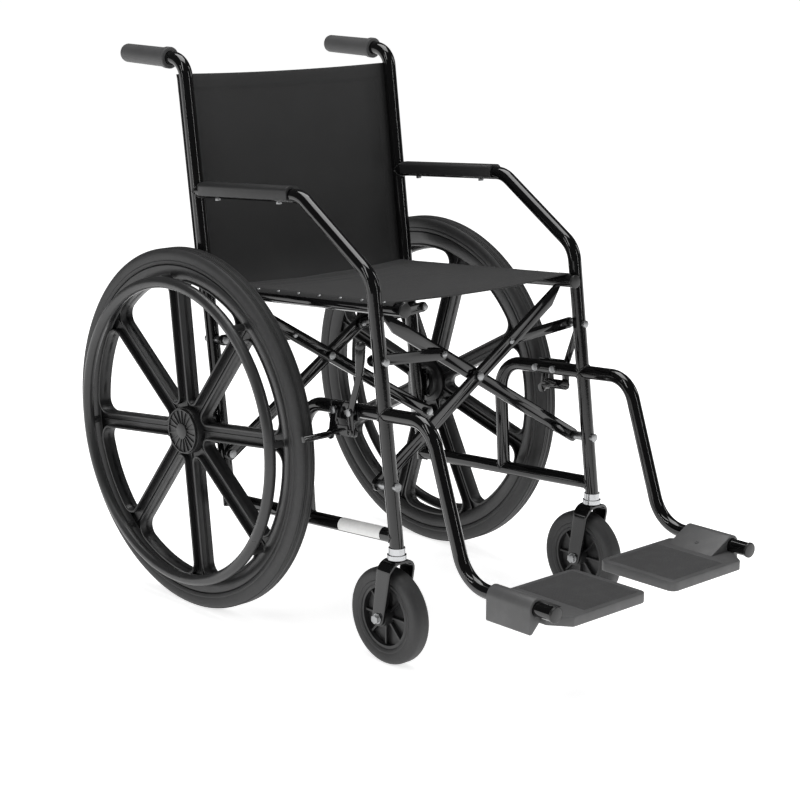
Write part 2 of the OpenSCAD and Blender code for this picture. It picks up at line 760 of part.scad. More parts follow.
module footplate(side) {
    inner_x = side_x - plate_w;
    outer_x = side_x - tube_r + 4;
    nip = 16;
    wedge = 52;
    flange = 13;
    rib_t = 0.8;
    color("#4a4a4a") on_side(side) floor_space() difference() {
        union() {
            translate([0, 0, plate_top_z - plate_t]) linear_extrude(plate_t) polygon([
                [inner_x, -plate_rear_u - nip / 2], [inner_x + nip / 2, -plate_rear_u],
                [outer_x - nip, -plate_rear_u], [outer_x, -plate_rear_u - nip],
                [outer_x, -plate_front_u + 2 * nip], [outer_x - nip * 1.5, -plate_front_u],
                [inner_x + nip / 2, -plate_front_u], [inner_x, -plate_front_u + nip / 2]
            ]);
            front_plate(block_u, block_u + block_len) {
                translate([side_x, foot_z]) circle(block_r);
                polygon([
                    [side_x - 9, foot_z + block_r - 2.6], [side_x - wedge, plate_top_z],
                    [side_x - wedge, plate_top_z - 4], [side_x + block_r, plate_top_z - plate_t - flange],
                    [side_x + block_r, foot_z], [side_x, foot_z]
                ]);
                translate([side_x - wedge, plate_top_z - plate_t])
                    square([wedge + block_r, plate_t - 2]);
            }
            for (x = [inner_x + 14:6:side_x - wedge - 8])
                translate([x, -plate_front_u + 14, plate_top_z - 1]) cube([2, plate_len - 28, 1 + rib_t]);
        }
        front_plate(plate_rear_u - 10, foot_end_u + 60) translate([side_x, foot_z]) circle(tube_r + fit);
        for (end = [[plate_rear_u - 10, block_u], [block_u + block_len, plate_front_u + 10]])
            front_plate(end[0], end[1]) translate([side_x, foot_z]) circle(tube_r + 3);
    }
}

// ---- Brakes ----

grip_low_s = lever_pivot_s + 27;
grip_low_h = brake_tube_rise + 62;
grip_top_s = lever_pivot_s + 33;
grip_top_h = brake_tube_rise + 106;

module lever_bar(p, q, w) {
    d = q - p;
    translate(p) rotate(atan2(d.y, d.x)) translate([0, -w / 2]) square([norm(d), w]);
}

module lever_outline() {
    pivot = [lever_pivot_s, brake_tube_rise];
    foot = [lever_pivot_s, lever_foot_h];
    low = [grip_low_s, grip_low_h];
    translate(pivot) circle(8);
    translate(foot) circle(7);
    lever_bar(pivot, foot, 14);
    lever_bar(pivot, low, 12);
    lever_bar(low - (low - pivot) * 0.04, [grip_top_s, grip_top_h - 6], 9);
}

module brake_lever(side) {
    color("#1c1c1c") on_side(side) frame_space() {
        difference() {
            side_plate(lever_x, lever_x + brake_t) lever_outline();
            bolt_x(lever_pivot_s, brake_tube_rise, lever_x - 1, lever_x + brake_t + 1, brake_pivot_r + fit);
        }
        bolt_x(lever_pivot_s, lever_foot_h, lever_x + brake_t / 2, lever_x + brake_t + 2.5, 5);
    }
}

module brake_grip(side) {
    grip_r = 7.5;
    grip_x = lever_x + brake_t / 2 + 1;
    color("#1f1f1f") on_side(side) frame_space() difference() {
        side_plane(grip_x) {
            bar_between([grip_low_s, grip_low_h], [grip_top_s, grip_top_h], grip_r);
            translate([grip_top_s, grip_top_h, 0]) sphere(r = grip_r + 0.2);
        }
        side_plate(lever_x, lever_x + brake_t) lever_outline();
    }
}

module brake_shoe(side) {
    rod_end = wheel_x + tyre_w / 2 + 4;
    color("#1c1c1c") on_side(side) frame_space() {
        difference() {
            side_plate(shoe_x, shoe_x + brake_t) {
                translate([shoe_pivot_s, brake_tube_rise]) circle(8);
                lever_bar([shoe_pivot_s, brake_tube_rise], [brake_rod_s + 5, brake_rod_h + 4], 15);
                translate([brake_rod_s, brake_rod_h]) circle(8);
                translate([brake_rod_s, lever_foot_h - 8]) square([lever_pivot_s - brake_rod_s + 2, 16]);
                translate([lever_pivot_s + 2, lever_foot_h]) circle(8);
            }
            bolt_x(shoe_pivot_s, brake_tube_rise, shoe_x - 1, shoe_x + brake_t + 1, brake_pivot_r + fit);
        }
        bolt_x(brake_rod_s, brake_rod_h, shoe_x, rod_end, brake_rod_r);
    }
}

// ---- Cross brace ----

// The upper ends are cut at a slant, so that they clear the side frames with the chair folded
end_clear = pad_half + 1.1;
folded_angle = arm_angle + fold_angle;
arm_cut_y = (end_clear - (arm_half - arm_end) * cos(folded_angle)) / sin(folded_angle);
function arm_cut(y) = arm_half - (end_clear - y * sin(folded_angle)) / cos(folded_angle);

// One flat bar from its lower pivot on the given side up to the other side's seat rail
module cross_bar(low_side, s0) {
    frame_space() on_side(-low_side) difference() {
        front_plate(s0, s0 + bar_t) translate([-side_x, -pivot_drop]) rotate(arm_angle) {
            circle(bar_w / 2);
            translate([arm_half, 0]) polygon([
                [-arm_half, -bar_w / 2], [arm_cut(-bar_w / 2), -bar_w / 2],
                [arm_end, arm_cut_y], [arm_end, bar_w / 2], [-arm_half, bar_w / 2]
            ]);
        }
        front_plate(s0 - 1, s0 + bar_t + 1) {
            translate([-side_x, -pivot_drop]) circle(pivot_r + fit);
            translate([0, cross_rise]) circle(low_side < 0 ? pivot_r : pivot_r + fit);
            translate([link_reach * cos(arm_angle), link_end_h]) circle(pivot_r - 1);
        }
        side_plane(rail_x) bar_between([-20, rail_h], [front_post_s + 60, rail_h], rail_r);
    }
}

module cross_arms_a() {
    color("#141414") {
        cross_bar(-1, front_plane_s + bar_t + brace_gap);
        cross_bar(-1, rear_plane_s);
    }
}

module cross_arms_b() {
    color("#141414") {
        cross_bar(1, front_plane_s);
        cross_bar(1, rear_plane_s + bar_t + brace_gap);
    }
}

module seat_rail(side) {
    color("#141414") on_side(side) frame_space() side_plane(rail_x) translate([rail_start_s, rail_h, 0])
        rotate([0, 90, 0]) linear_extrude(rail_len) ring_2d(rail_r, rail_r - tube_wall);
}

module rail_plugs(side) {
    color("#202020") on_side(side) frame_space() side_plane(rail_x) translate([rail_start_s, rail_h, 0])
        rotate([0, 90, 0]) {
        for (end = [-5, rail_len]) translate([0, 0, end]) cylinder(r = rail_r + 0.8, h = 5);
        for (end = [-1, rail_len - 12]) translate([0, 0, end]) cylinder(r = rail_r - tube_wall, h = 13);
    }
}

module cross_pins() {
    head = 7;
    color("#b9bcc0") frame_space() for (s0 = [front_plane_s, rear_plane_s]) {
        s1 = s0 + 2 * bar_t + brace_gap;
        translate([0, -s0 + 4, cross_rise]) rotate([90, 0, 0]) cylinder(r = pivot_r, h = s1 - s0 + 8);
        translate([0, -s0 + 4.5, cross_rise]) rotate([90, 0, 0]) cylinder(r = head, h = 4.2);
        translate([0, -s1 - gap, cross_rise]) rotate([90, 0, 0]) cylinder(r = head, h = 4.2);
    }
}

// A side's two links, each from its post to the arm that rises on that side
module links(side) {
    dx = -link_x;
    dh = link_end_h - link_pivot_h;
    length = norm([dx, dh]);
    shrink = (bar_t - link_t) / 2;
    rivet_t = 3;
    color("#141414") on_side(side) frame_space() for (s0 = [link_front_s(side), link_rear_s(side)]) {
        head_in_front = (s0 == link_front_s(side)) == (side < 0);
        head_s = s0 + shrink + (head_in_front ? link_t - tuck : -rivet_t);
        difference() {
            front_plate(s0 + shrink, s0 + shrink + link_t) translate([side_x, link_pivot_h])
                rotate(atan2(dh, dx)) {
                circle(link_w / 2);
                translate([0, -link_w / 2]) square([length, link_w]);
                translate([length, 0]) circle(link_w / 2);
            }
            front_plate(s0 - 1, s0 + bar_t + 1) translate([side_x, link_pivot_h]) circle(pivot_r + fit);
        }
        translate([side_x + dx, -head_s, link_end_h]) rotate([90, 0, 0]) cylinder(r = 6, h = rivet_t + tuck);
    }
}

// ---- Slings ----

module seat_sling() {
    color("#262626") frame_space() translate([-seat_half, -rail_start_s - rail_len + 14, seat_h])
        cube([2 * seat_half, rail_len - 22, sling_t]);
}

module back_sling() {
    width = frame_w + 2 * (tube_r - 2);
    color("#262626") frame_space() difference() {
        translate([-width / 2, -back_s(back_low), back_low]) rotate([-back_rake, 0, 0])
            translate([0, back_off, 0]) cube([width, sling_t, (back_top - back_low) / cos(back_rake)]);
        for (side = [-1, 1]) on_side(side) sling_screw_shanks();
    }
}

back_post(-1);  // right_back_post
back_post(1);  // left_back_post
armrest_tube(-1);  // right_armrest_tube
armrest_tube(1);  // left_armrest_tube
brake_tube(-1);  // right_brake_tube
brake_tube(1);  // left_brake_tube
lower_rail(-1);  // right_lower_rail
lower_rail(1);  // left_lower_rail
leg_tube(-1);  // right_leg_tube
leg_tube(1);  // left_leg_tube
push_grip(-1);  // right_push_grip
push_grip(1);  // left_push_grip
armrest_pad(-1);  // right_armrest_pad
armrest_pad(1);  // left_armrest_pad
brackets(-1);  // right_brackets
brackets(1);  // left_brackets
frame_bolts(-1);  // right_frame_bolts
frame_bolts(1);  // left_frame_bolts
axle(-1);  // right_axle
axle(1);  // left_axle
headset(-1);  // right_headset
headset(1);  // left_headset
foot_tube_cap(-1);  // right_foot_tube_cap
foot_tube_cap(1);  // left_foot_tube_cap
tyre(-1);  // right_tyre
tyre(1);  // left_tyre
wheel(-1);  // right_wheel
wheel(1);  // left_wheel
handrim(-1);  // right_handrim
handrim(1);  // left_handrim
hub_cap(-1);  // right_hub_cap
hub_cap(1);  // left_hub_cap
caster_fork(-1);  // right_caster_fork
caster_fork(1);  // left_caster_fork
caster_hub(-1);  // right_caster_hub
caster_hub(1);  // left_caster_hub
caster_tyre(-1);  // right_caster_tyre
caster_tyre(1);  // left_caster_tyre
caster_axle(-1);  // right_caster_axle
caster_axle(1);  // left_caster_axle
footplate(-1);  // right_footplate
footplate(1);  // left_footplate
brake_lever(-1);  // right_brake_lever
brake_lever(1);  // left_brake_lever
brake_grip(-1);  // right_brake_grip
brake_grip(1);  // left_brake_grip
brake_shoe(-1);  // right_brake_shoe
brake_shoe(1);  // left_brake_shoe
cross_arms_a();
cross_arms_b();
seat_rail(1);  // left_seat_rail
seat_rail(-1);  // right_seat_rail
rail_plugs(1);  // left_rail_plugs
rail_plugs(-1);  // right_rail_plugs
cross_pins();
links(-1);  // right_links
links(1);  // left_links
seat_sling();
back_sling();
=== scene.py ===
"""Manual folding wheelchair: the looks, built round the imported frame."""

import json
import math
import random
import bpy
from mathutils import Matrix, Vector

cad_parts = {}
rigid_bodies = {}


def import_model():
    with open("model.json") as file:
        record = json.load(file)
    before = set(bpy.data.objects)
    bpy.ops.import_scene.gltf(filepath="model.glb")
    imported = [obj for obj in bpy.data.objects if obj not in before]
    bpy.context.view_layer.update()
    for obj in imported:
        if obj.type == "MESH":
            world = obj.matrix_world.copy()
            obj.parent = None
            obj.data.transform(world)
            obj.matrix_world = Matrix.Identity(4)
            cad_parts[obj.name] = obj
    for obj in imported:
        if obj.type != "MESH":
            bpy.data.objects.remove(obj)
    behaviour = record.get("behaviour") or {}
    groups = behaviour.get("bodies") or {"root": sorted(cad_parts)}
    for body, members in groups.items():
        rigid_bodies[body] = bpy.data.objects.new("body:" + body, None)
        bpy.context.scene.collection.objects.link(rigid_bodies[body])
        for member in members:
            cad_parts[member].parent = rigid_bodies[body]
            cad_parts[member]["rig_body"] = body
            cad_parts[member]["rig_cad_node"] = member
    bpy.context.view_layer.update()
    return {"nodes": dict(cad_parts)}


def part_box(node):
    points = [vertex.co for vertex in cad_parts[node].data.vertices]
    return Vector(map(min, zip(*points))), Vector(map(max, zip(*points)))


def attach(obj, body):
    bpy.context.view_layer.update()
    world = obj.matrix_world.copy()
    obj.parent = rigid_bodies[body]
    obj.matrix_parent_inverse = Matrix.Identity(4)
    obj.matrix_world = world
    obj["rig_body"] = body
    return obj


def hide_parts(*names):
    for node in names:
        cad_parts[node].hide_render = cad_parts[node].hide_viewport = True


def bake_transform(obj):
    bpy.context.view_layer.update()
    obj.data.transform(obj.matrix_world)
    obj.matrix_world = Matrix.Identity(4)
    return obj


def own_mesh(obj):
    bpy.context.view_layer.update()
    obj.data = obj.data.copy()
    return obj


bl_info = {
    "name": "Manual folding wheelchair",
    "version": (1, 0, 0),
    "blender": (4, 5, 0),
    "location": "3D View > Sidebar > Wheelchair",
    "description": "Builds the finishes, slings, wheels and fittings of a manual folding wheelchair",
    "category": "Add Mesh",
}

import bpy
from bpy.props import FloatProperty, FloatVectorProperty, IntProperty, PointerProperty
from mathutils import Matrix, Vector

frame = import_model()

# ---- Places, in metres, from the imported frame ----

TAU = 2 * math.pi
SIDES = {"right": -1, "left": 1}
WHEEL_TURN = {"right": -2.2, "left": 21.2}
PITCH = math.radians(4.0)
BACK_RAKE = math.radians(3.65)
FRONT_RAKE = math.radians(3.75)


def middle(node):
    low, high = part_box(node)
    return (low + high) / 2


WHEEL = middle("left_tyre")
CASTER = middle("left_caster_tyre")
AXLE_Y, AXLE_Z = WHEEL.y, WHEEL.z
SIDE_X = middle("left_back_post").x
TYRE_R = AXLE_Z
TYRE_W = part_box("left_tyre")[1].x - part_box("left_tyre")[0].x
RIM_R = TYRE_R - 0.026
RING_R = TYRE_R - 0.053
CASTER_R = CASTER.z
CASTER_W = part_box("left_caster_tyre")[1].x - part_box("left_caster_tyre")[0].x
CASTER_RIM = CASTER_R - 0.026
TUBE_R = 0.0111
HANDLE_LEN = 0.155
BACK_S = 0.0151
FRONT_S = 0.4266
RAIL = Vector((0.1883, 0.21918))
RAIL_R = 0.010
TILT = Matrix.Translation((0, AXLE_Y, AXLE_Z)) @ Matrix.Rotation(-PITCH, 4, "X")

ARM_H = 0.387
RAIL_H = -0.124
BRAKE_H = 0.064
HANDLE_H = 0.597
HANDLE_SLOPE = math.radians(4.9)
FOOT_Z = 0.168

LINK_END = Vector((0.07602, 0.13390))
# How far forward each dome sits, and whether it looks forward or backward
LINK_RIVETS = {
    "right": [(0.4052, 1), (0.3917, -1), (0.0419, 1), (0.0283, -1)],
    "left": [(0.4027, 1), (0.3892, -1), (0.0445, 1), (0.0309, -1)],
}


def back_s(h):
    return BACK_S - math.tan(BACK_RAKE) * h


def front_s(h):
    return FRONT_S - math.tan(FRONT_RAKE) * h


def tilted(x, s, h):
    """A point of the tilted seat frame: s runs forward and h up from the rear axle."""
    return TILT @ Vector((x, -s, h))


# ---- Sizes and colours a user would change ----


def length(name, default, text):
    return FloatProperty(
        name=name, default=default, min=0.0, unit="LENGTH", precision=4, description=text
    )


def colour(name, default, text):
    return FloatVectorProperty(
        name=name, default=default, subtype="COLOR", min=0.0, max=1.0, description=text
    )


class WheelchairSizes(bpy.types.PropertyGroup):
    spokes: IntProperty(
        name="Spokes", default=8, min=6, max=10, description="Spokes of a rear wheel"
    )
    spoke_width: length("Spoke width", 0.027, "Width of a moulded spoke")
    spoke_depth: length("Spoke depth", 0.024, "Depth of a spoke's raised edges")
    spoke_edge: length("Spoke edge", 0.0042, "Thickness of a spoke's raised edges")
    corner: length("Window corner", 0.020, "Radius of the wheel windows' outer corners")
    seat_sag: length("Seat sag", 0.006, "How far the seat sling hangs in its middle")
    back_bow: length("Back bow", 0.007, "How far the back sling bows backwards")
    thread: length("Thread pitch", 0.0016, "Distance between the threads of the slings")
    hem: length("Hem", 0.014, "Width of the slings' stitched hems")
    rib_pitch: length("Rib pitch", 0.0036, "Distance between the footplates' ribs")
    weld: length("Weld bead", 0.0017, "Radius of the weld beads")


class WheelchairColours(bpy.types.PropertyGroup):
    frame_paint: colour("Frame paint", (0.0025, 0.0025, 0.0027), "Gloss black of the tubes")
    fabric: colour("Fabric", (0.016, 0.016, 0.0163), "Woven slings")
    tyre: colour("Tyres", (0.026, 0.026, 0.0265), "Solid rubber tyres")
    wheel_plastic: colour("Wheels", (0.014, 0.014, 0.0145), "Moulded wheels")
    handrim_plastic: colour("Handrims", (0.026, 0.026, 0.0265), "Moulded handrims")
    grey_plastic: colour("Footplates", (0.080, 0.080, 0.081), "Moulded footplates")
    pad_plastic: colour("Armrests", (0.022, 0.022, 0.0225), "Moulded armrest pads")
    plug_plastic: colour("Plugs", (0.016, 0.016, 0.016), "Tube plugs")
    grip_rubber: colour("Push grips", (0.060, 0.060, 0.061), "Soft push grips")
    brake_grip_plastic: colour("Brake grips", (0.018, 0.018, 0.018), "Brake lever grips")
    zinc: colour("Zinc", (0.36, 0.365, 0.37), "Plated bolts and nuts")
    chrome: colour("Chrome", (0.50, 0.505, 0.515), "Polished cups")
    label: colour("Label", (0.80, 0.80, 0.79), "Blank label on the lower rail")


def sizes():
    return bpy.context.scene.wheelchair_sizes


# ---- Shader maths ----


class Socket:
    """An output of a node; sums and products of sockets add their own Math nodes."""

    def __init__(self, finish, output):
        self.finish, self.output = finish, output

    def maths(self, operation, *values):
        return self.finish.node(
            "ShaderNodeMath", {"operation": operation}, dict(enumerate(values))
        )

    def __add__(self, other):
        return self.maths("ADD", self, other)

    __radd__ = __add__

    def __sub__(self, other):
        return self.maths("SUBTRACT", self, other)

    def __rsub__(self, other):
        return self.maths("SUBTRACT", other, self)

    def __mul__(self, other):
        return self.maths("MULTIPLY", self, other)

    __rmul__ = __mul__

    def sine(self):
        return self.maths("SINE", self)

    def clipped(self, low, high):
        return self.finish.node(
            "ShaderNodeMapRange", {}, {"Value": self, "From Min": low, "From Max": high}
        )


class Finish:
    """One material and the nodes that make it."""

    def __init__(self, name):
        self.material = bpy.data.materials.new(name)
        self.material.use_nodes = True
        self.tree = self.material.node_tree
        self.tree.nodes.clear()

    def node(self, kind, settings=None, values=None, output=0):
        made = self.tree.nodes.new(kind)
        for key, value in (settings or {}).items():
            if key == "stops":
                ramp = made.color_ramp.elements
                for element, (place, shade) in zip(ramp, value):
                    element.position, element.color = place, shade
            else:
                setattr(made, key, value)
        for key, value in (values or {}).items():
            if isinstance(value, Socket):
                self.tree.links.new(value.output, made.inputs[key])
            else:
                made.inputs[key].default_value = value
        return Socket(self, made.outputs[output])

    def place(self, output="Object"):
        return self.node("ShaderNodeTexCoord", output=output)

    def noise(self, where, scale, detail=2.0, roughness=0.5):
        return self.node(
            "ShaderNodeTexNoise",
            {},
            {"Vector": where, "Scale": scale, "Detail": detail, "Roughness": roughness},
        )

    def shade(self, amount, dark, light):
        """Goes from one colour to another as amount goes from 0 to 1."""
        return self.node(
            "ShaderNodeMix",
            {"data_type": "RGBA"},
            {0: amount, 6: (*dark, 1.0), 7: (*light, 1.0)},
            output=2,
        )

    def relief(self, height, depth, strength=1.0, under=None):
        values = {"Height": height, "Distance": depth, "Strength": strength}
        if under:
            values["Normal"] = under
        return self.node("ShaderNodeBump", {}, values)

    def done(self, **surface):
        shader = self.tree.nodes.new("ShaderNodeBsdfPrincipled")
        for key, value in surface.items():
            socket = shader.inputs[key.replace("_", " ")]
            if isinstance(value, Socket):
                self.tree.links.new(value.output, socket)
            else:
                socket.default_value = value
        output = self.tree.nodes.new("ShaderNodeOutputMaterial")
        self.tree.links.new(shader.outputs[0], output.inputs[0])
        return self.material


def tint(base, share):
    return tuple(min(1.0, c * share) for c in base)


def gloss_paint(name, base):
    """Sprayed gloss black with a faint orange peel and a little handling haze."""
    f = Finish(name)
    where = f.place()
    haze = f.noise(where, 14.0, 4.0, 0.6)
    peel = f.noise(where, 260.0, 2.0)
    return f.done(
        Base_Color=f.shade(haze, tint(base, 0.7), tint(base, 1.4)),
        Roughness=0.05 + haze * 0.06,
        Normal=f.relief(peel, 0.00012, 0.35),
        Coat_Weight=0.25,
    )


def moulded_plastic(name, base, rough, grain=2200.0, depth=0.00008, wear=0.35):
    """Moulded plastic: a fine texture, flow marks and slightly polished patches."""
    f = Finish(name)
    where = f.place()
    flow = f.noise(where, 11.0, 5.0, 0.55)
    fine = f.noise(where, grain, 2.0)
    rubbed = f.noise(where, 46.0, 3.0, 0.6).clipped(0.45, 0.75)
    colours = f.shade(
        flow * (1 - wear) + rubbed * wear, tint(base, 0.78), tint(base, 1.25)
    )
    return f.done(
        Base_Color=colours,
        Roughness=rough - 0.06 + flow * 0.16 - rubbed * 0.05,
        Normal=f.relief(fine, depth, 0.7),
    )


def tyre_rubber(name, base):
    """Solid rubber with dust in its tread and a matt, slightly mottled sidewall."""
    f = Finish(name)
    where = f.place()
    dust = f.noise(where, 30.0, 6.0, 0.65)
    scuff = f.noise(where, 190.0, 3.0, 0.6).clipped(0.5, 0.72)
    fine = f.noise(where, 1400.0, 2.0)
    return f.done(
        Base_Color=f.shade(
            dust * 0.7 + scuff * 0.3, tint(base, 0.7), tint(base, 1.5)
        ),
        Roughness=0.46 + dust * 0.22,
        Normal=f.relief(
            scuff, 0.0002, 0.3, under=f.relief(fine, 0.0001, 0.6)
        ),
    )


def soft_grip(name, base):
    """Foamed vinyl, matt and evenly pebbled."""
    f = Finish(name)
    where = f.place()
    pebble = f.node(
        "ShaderNodeTexVoronoi", {"feature": "F1"}, {"Vector": where, "Scale": 900.0}
    )
    shine = f.noise(where, 24.0, 3.0)
    return f.done(
        Base_Color=f.shade(shine, tint(base, 0.85), tint(base, 1.2)),
        Roughness=0.52 + shine * 0.14,
        Normal=f.relief(pebble, 0.00015, 0.4),
    )


def woven_fabric(name, base):
    """Plain woven nylon; the weave follows the piece's own UV map, laid out in metres. Its colour holds
    painted shade between the threads, with random slubs and patches of tone.
    """
    f = Finish(name)
    laid = f.node("ShaderNodeUVMap", {"uv_map": "cloth"})
    across = f.node("ShaderNodeSeparateXYZ", {}, {0: laid}, output=0)
    along = f.node("ShaderNodeSeparateXYZ", {}, {0: laid}, output=1)
    turns = TAU / sizes().thread
    weave = (across * turns).sine() * (along * turns).sine() * 0.5 + 0.5
    slub = f.noise(laid, 620.0, 2.0, 0.7)
    broad = f.noise(laid, 9.0, 4.0, 0.55)
    wrinkle = f.noise(laid, 26.0, 3.0, 0.5)
    # Painted shade: the colour darkens in the gaps between threads and lightens on their crowns; slub and
    # broad add random tone.
    weave_shade_and_slub = weave * 0.35 + slub * 0.45 + broad * 0.4
    return f.done(
        Base_Color=f.shade(weave_shade_and_slub, tint(base, 0.45), tint(base, 1.75)),
        Roughness=0.74 + slub * 0.16,
        Sheen_Weight=0.08,
        Sheen_Roughness=0.4,
        Normal=f.relief(
            wrinkle, 0.0016, 0.5, under=f.relief(weave + slub, 0.0003, 0.7)
        ),
    )


def plated_metal(name, base, rough):
    """Plated steel: fine turning marks and a few duller patches."""
    f = Finish(name)
    where = f.place()
    patch = f.noise(where, 90.0, 4.0, 0.6)
    marks = f.noise(where, 1700.0, 2.0)
    return f.done(
        Base_Color=f.shade(patch, tint(base, 0.72), tint(base, 1.08)),
        Metallic=1.0,
        Roughness=rough + patch * 0.18,
        Normal=f.relief(marks, 0.00006, 0.4),
    )


def paper_label(name, base):
    """A blank label, slightly soiled."""
    f = Finish(name)
    where = f.place()
    soil = f.noise(where, 120.0, 4.0, 0.6)
    return f.done(
        Base_Color=f.shade(soil, tint(base, 0.86), tint(base, 1.05)),
        Roughness=0.35 + soil * 0.2,
        Normal=f.relief(soil, 0.0001, 0.2),
    )


FINISHES = {}


def make_finishes():
    c = bpy.context.scene.wheelchair_colours
    FINISHES.update(
        frame_paint=gloss_paint("frame_paint_gloss", c.frame_paint),
        fabric=woven_fabric("fabric_weave", c.fabric),
        tyre=tyre_rubber("tyre_rubber", c.tyre),
        wheel_plastic=moulded_plastic("wheel_moulding", c.wheel_plastic, 0.36),
        handrim_plastic=moulded_plastic("handrim_moulding", c.handrim_plastic, 0.30),
        grey_plastic=moulded_plastic("footplate_moulding", c.grey_plastic, 0.46, 1500.0, 0.00014),
        pad_plastic=moulded_plastic("armrest_moulding", c.pad_plastic, 0.40, 1300.0, 0.00012),
        plug_plastic=moulded_plastic("plug_moulding", c.plug_plastic, 0.34),
        grip_rubber=soft_grip("push_grip_vinyl", c.grip_rubber),
        brake_grip_plastic=moulded_plastic("brake_grip_moulding", c.brake_grip_plastic, 0.16),
        zinc=plated_metal("zinc_plate", c.zinc, 0.24),
        chrome=plated_metal("chrome_plate", c.chrome, 0.10),
        label=paper_label("label_paper", c.label),
    )


# ---- Modelling by hand ----


def clear_selection():
    for ob in bpy.context.selected_objects:
        ob.select_set(False)


def pick(ob):
    clear_selection()
    ob.select_set(True)
    bpy.context.view_layer.objects.active = ob


def in_edit(ob, *steps):
    """Runs edit mode steps on the whole of a mesh."""
    pick(ob)
    bpy.ops.object.mode_set(mode="EDIT")
    for step in steps:
        bpy.ops.mesh.select_all(action="SELECT")
        step()
    bpy.ops.object.mode_set(mode="OBJECT")


def merge():
    bpy.ops.mesh.remove_doubles(threshold=0.000004)


def face_out():
    bpy.ops.mesh.normals_make_consistent(inside=False)


def smooth(ob, degrees=35):
    pick(ob)
    bpy.ops.object.shade_smooth_by_angle(angle=math.radians(degrees))


def modify(ob, kind, **settings):
    pick(ob)
    made = ob.modifiers.new(kind.title(), kind)
    for key, value in settings.items():
        setattr(made, key, value)
    bpy.ops.object.modifier_apply(modifier=made.name)


def round_edges(ob, width, segments=2, degrees=30):
    modify(
        ob,
        "BEVEL",
        width=width,
        segments=segments,
        limit_method="ANGLE",
        angle_limit=math.radians(degrees),
        use_clamp_overlap=True,
    )


def loop_of(points):
    """A closed wire loop through flat or solid points."""
    clear_selection()
    bpy.ops.mesh.primitive_circle_add(vertices=len(points), fill_type="NOTHING")
    ob = bpy.context.object
    for vertex, point in zip(ob.data.vertices, points):
        vertex.co = point
    return ob


def joined(name, parts):
    clear_selection()
    for part in parts:
        part.select_set(True)
    bpy.context.view_layer.objects.active = parts[0]
    if len(parts) > 1:
        bpy.ops.object.join()
    ob = bpy.context.object
    ob.name = name
    ob.data.name = name
    return ob


def lathe(outline, steps=96):
    """Spins a closed outline of (along, radius) points round the X axis."""
    ob = loop_of([(along, 0.0, radius) for along, radius in outline])

    def spin():
        bpy.ops.mesh.spin(steps=steps, angle=TAU, center=(0, 0, 0), axis=(1, 0, 0))

    in_edit(ob, spin, merge, bpy.ops.mesh.dissolve_degenerate, bpy.ops.mesh.delete_loose, face_out)
    return ob


def flat_piece(loops, depth, edge, segments=2):
    """A plate with holes: its loops lie in XY, and its depth runs along Z about zero."""
    ob = joined("plate", [loop_of([(x, y, -depth / 2) for x, y in loop]) for loop in loops])

    def raise_it():
        bpy.ops.mesh.extrude_region_move(TRANSFORM_OT_translate={"value": (0, 0, depth)})

    in_edit(
        ob,
        lambda: bpy.ops.mesh.fill(use_beauty=False),
        raise_it,
        merge,
        lambda: bpy.ops.mesh.dissolve_limited(angle_limit=0.01),
        face_out,
    )
    if edge:
        round_edges(ob, edge, segments)
    return ob


def moved(ob, matrix):
    ob.data.transform(matrix)
    if matrix.determinant() < 0:
        ob.data.flip_normals()
    return ob


def clone(ob):
    """A copy with its own mesh."""
    made = ob.copy()
    made.data = ob.data.copy()
    bpy.context.scene.collection.objects.link(made)
    return made


def twin(ob, name):
    """A copy on the other side of the chair."""
    made = clone(ob)
    made.name = made.data.name = name
    return moved(made, Matrix.Scale(-1, 4, (1, 0, 0)))


def settle(ob, finish, body, *nodes, slot=None):
    """Gives a finished piece its finish, its body and the nodes that it stands for."""
    ob.data.materials.clear()
    ob.data.materials.append(FINISHES[finish])
    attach(ob, body)
    if nodes:
        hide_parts(*nodes)
    return ob


def arc(centre, radius, start, end, steps):
    return [
        (
            centre[0] + radius * math.cos(start + (end - start) * k / steps),
            centre[1] + radius * math.sin(start + (end - start) * k / steps),
        )
        for k in range(steps + 1)
    ]


def both_sides(ob, name, finish, body, node=None, slot=None):
    """Settles a left hand piece and its right hand twin."""
    other = twin(ob, f"right_{name}")
    ob.name = ob.data.name = f"left_{name}"
    for side, piece in (("left", ob), ("right", other)):
        nodes = [f"{side}_{node}"] if node else []
        settle(piece, finish, f"{side}_{body}", *nodes, slot=slot)
    return ob, other


# ---- Frame tubes and small fittings ----

NODE_FINISHES = {
    "back_post": "frame_paint",
    "armrest_tube": "frame_paint",
    "brake_tube": "frame_paint",
    "lower_rail": "frame_paint",
    "leg_tube": "frame_paint",
    "seat_rail": "frame_paint",
    "handrim": "handrim_plastic",
    "headset": "chrome",
    "axle": "zinc",
}
SOFTENED = {
    "cross_arms_a": ("frame_paint", 0.0007),
    "cross_arms_b": ("frame_paint", 0.0007),
    "cross_pins": ("zinc", 0.0011),
    "links": ("frame_paint", 0.0007),
    "brackets": ("frame_paint", 0.0007),
    "frame_bolts": ("zinc", 0.0011),
    "brake_lever": ("frame_paint", 0.0006),
    "brake_shoe": ("frame_paint", 0.0006),
    "rail_plugs": ("plug_plastic", 0.0016),
    "foot_tube_cap": ("plug_plastic", 0.0016),
    "hub_cap": ("wheel_plastic", 0.0004),
    "caster_hub": ("wheel_plastic", 0.0006),
    "caster_axle": ("zinc", 0.0008),
}


def kind_of(node):
    for side in SIDES:
        if node.startswith(side + "_"):
            return node[len(side) + 1 :]
    return node


class WHEELCHAIR_OT_frame(bpy.types.Operator):
    """Paints the frame tubes, rails, axles and cups"""

    bl_idname = "wheelchair.frame"
    bl_label = "Frame finishes"

    def execute(self, context):
        for node, ob in frame["nodes"].items():
            finish = NODE_FINISHES.get(kind_of(node))
            if finish:
                ob.data.materials.clear()
                ob.data.materials.append(FINISHES[finish])
        return {"FINISHED"}


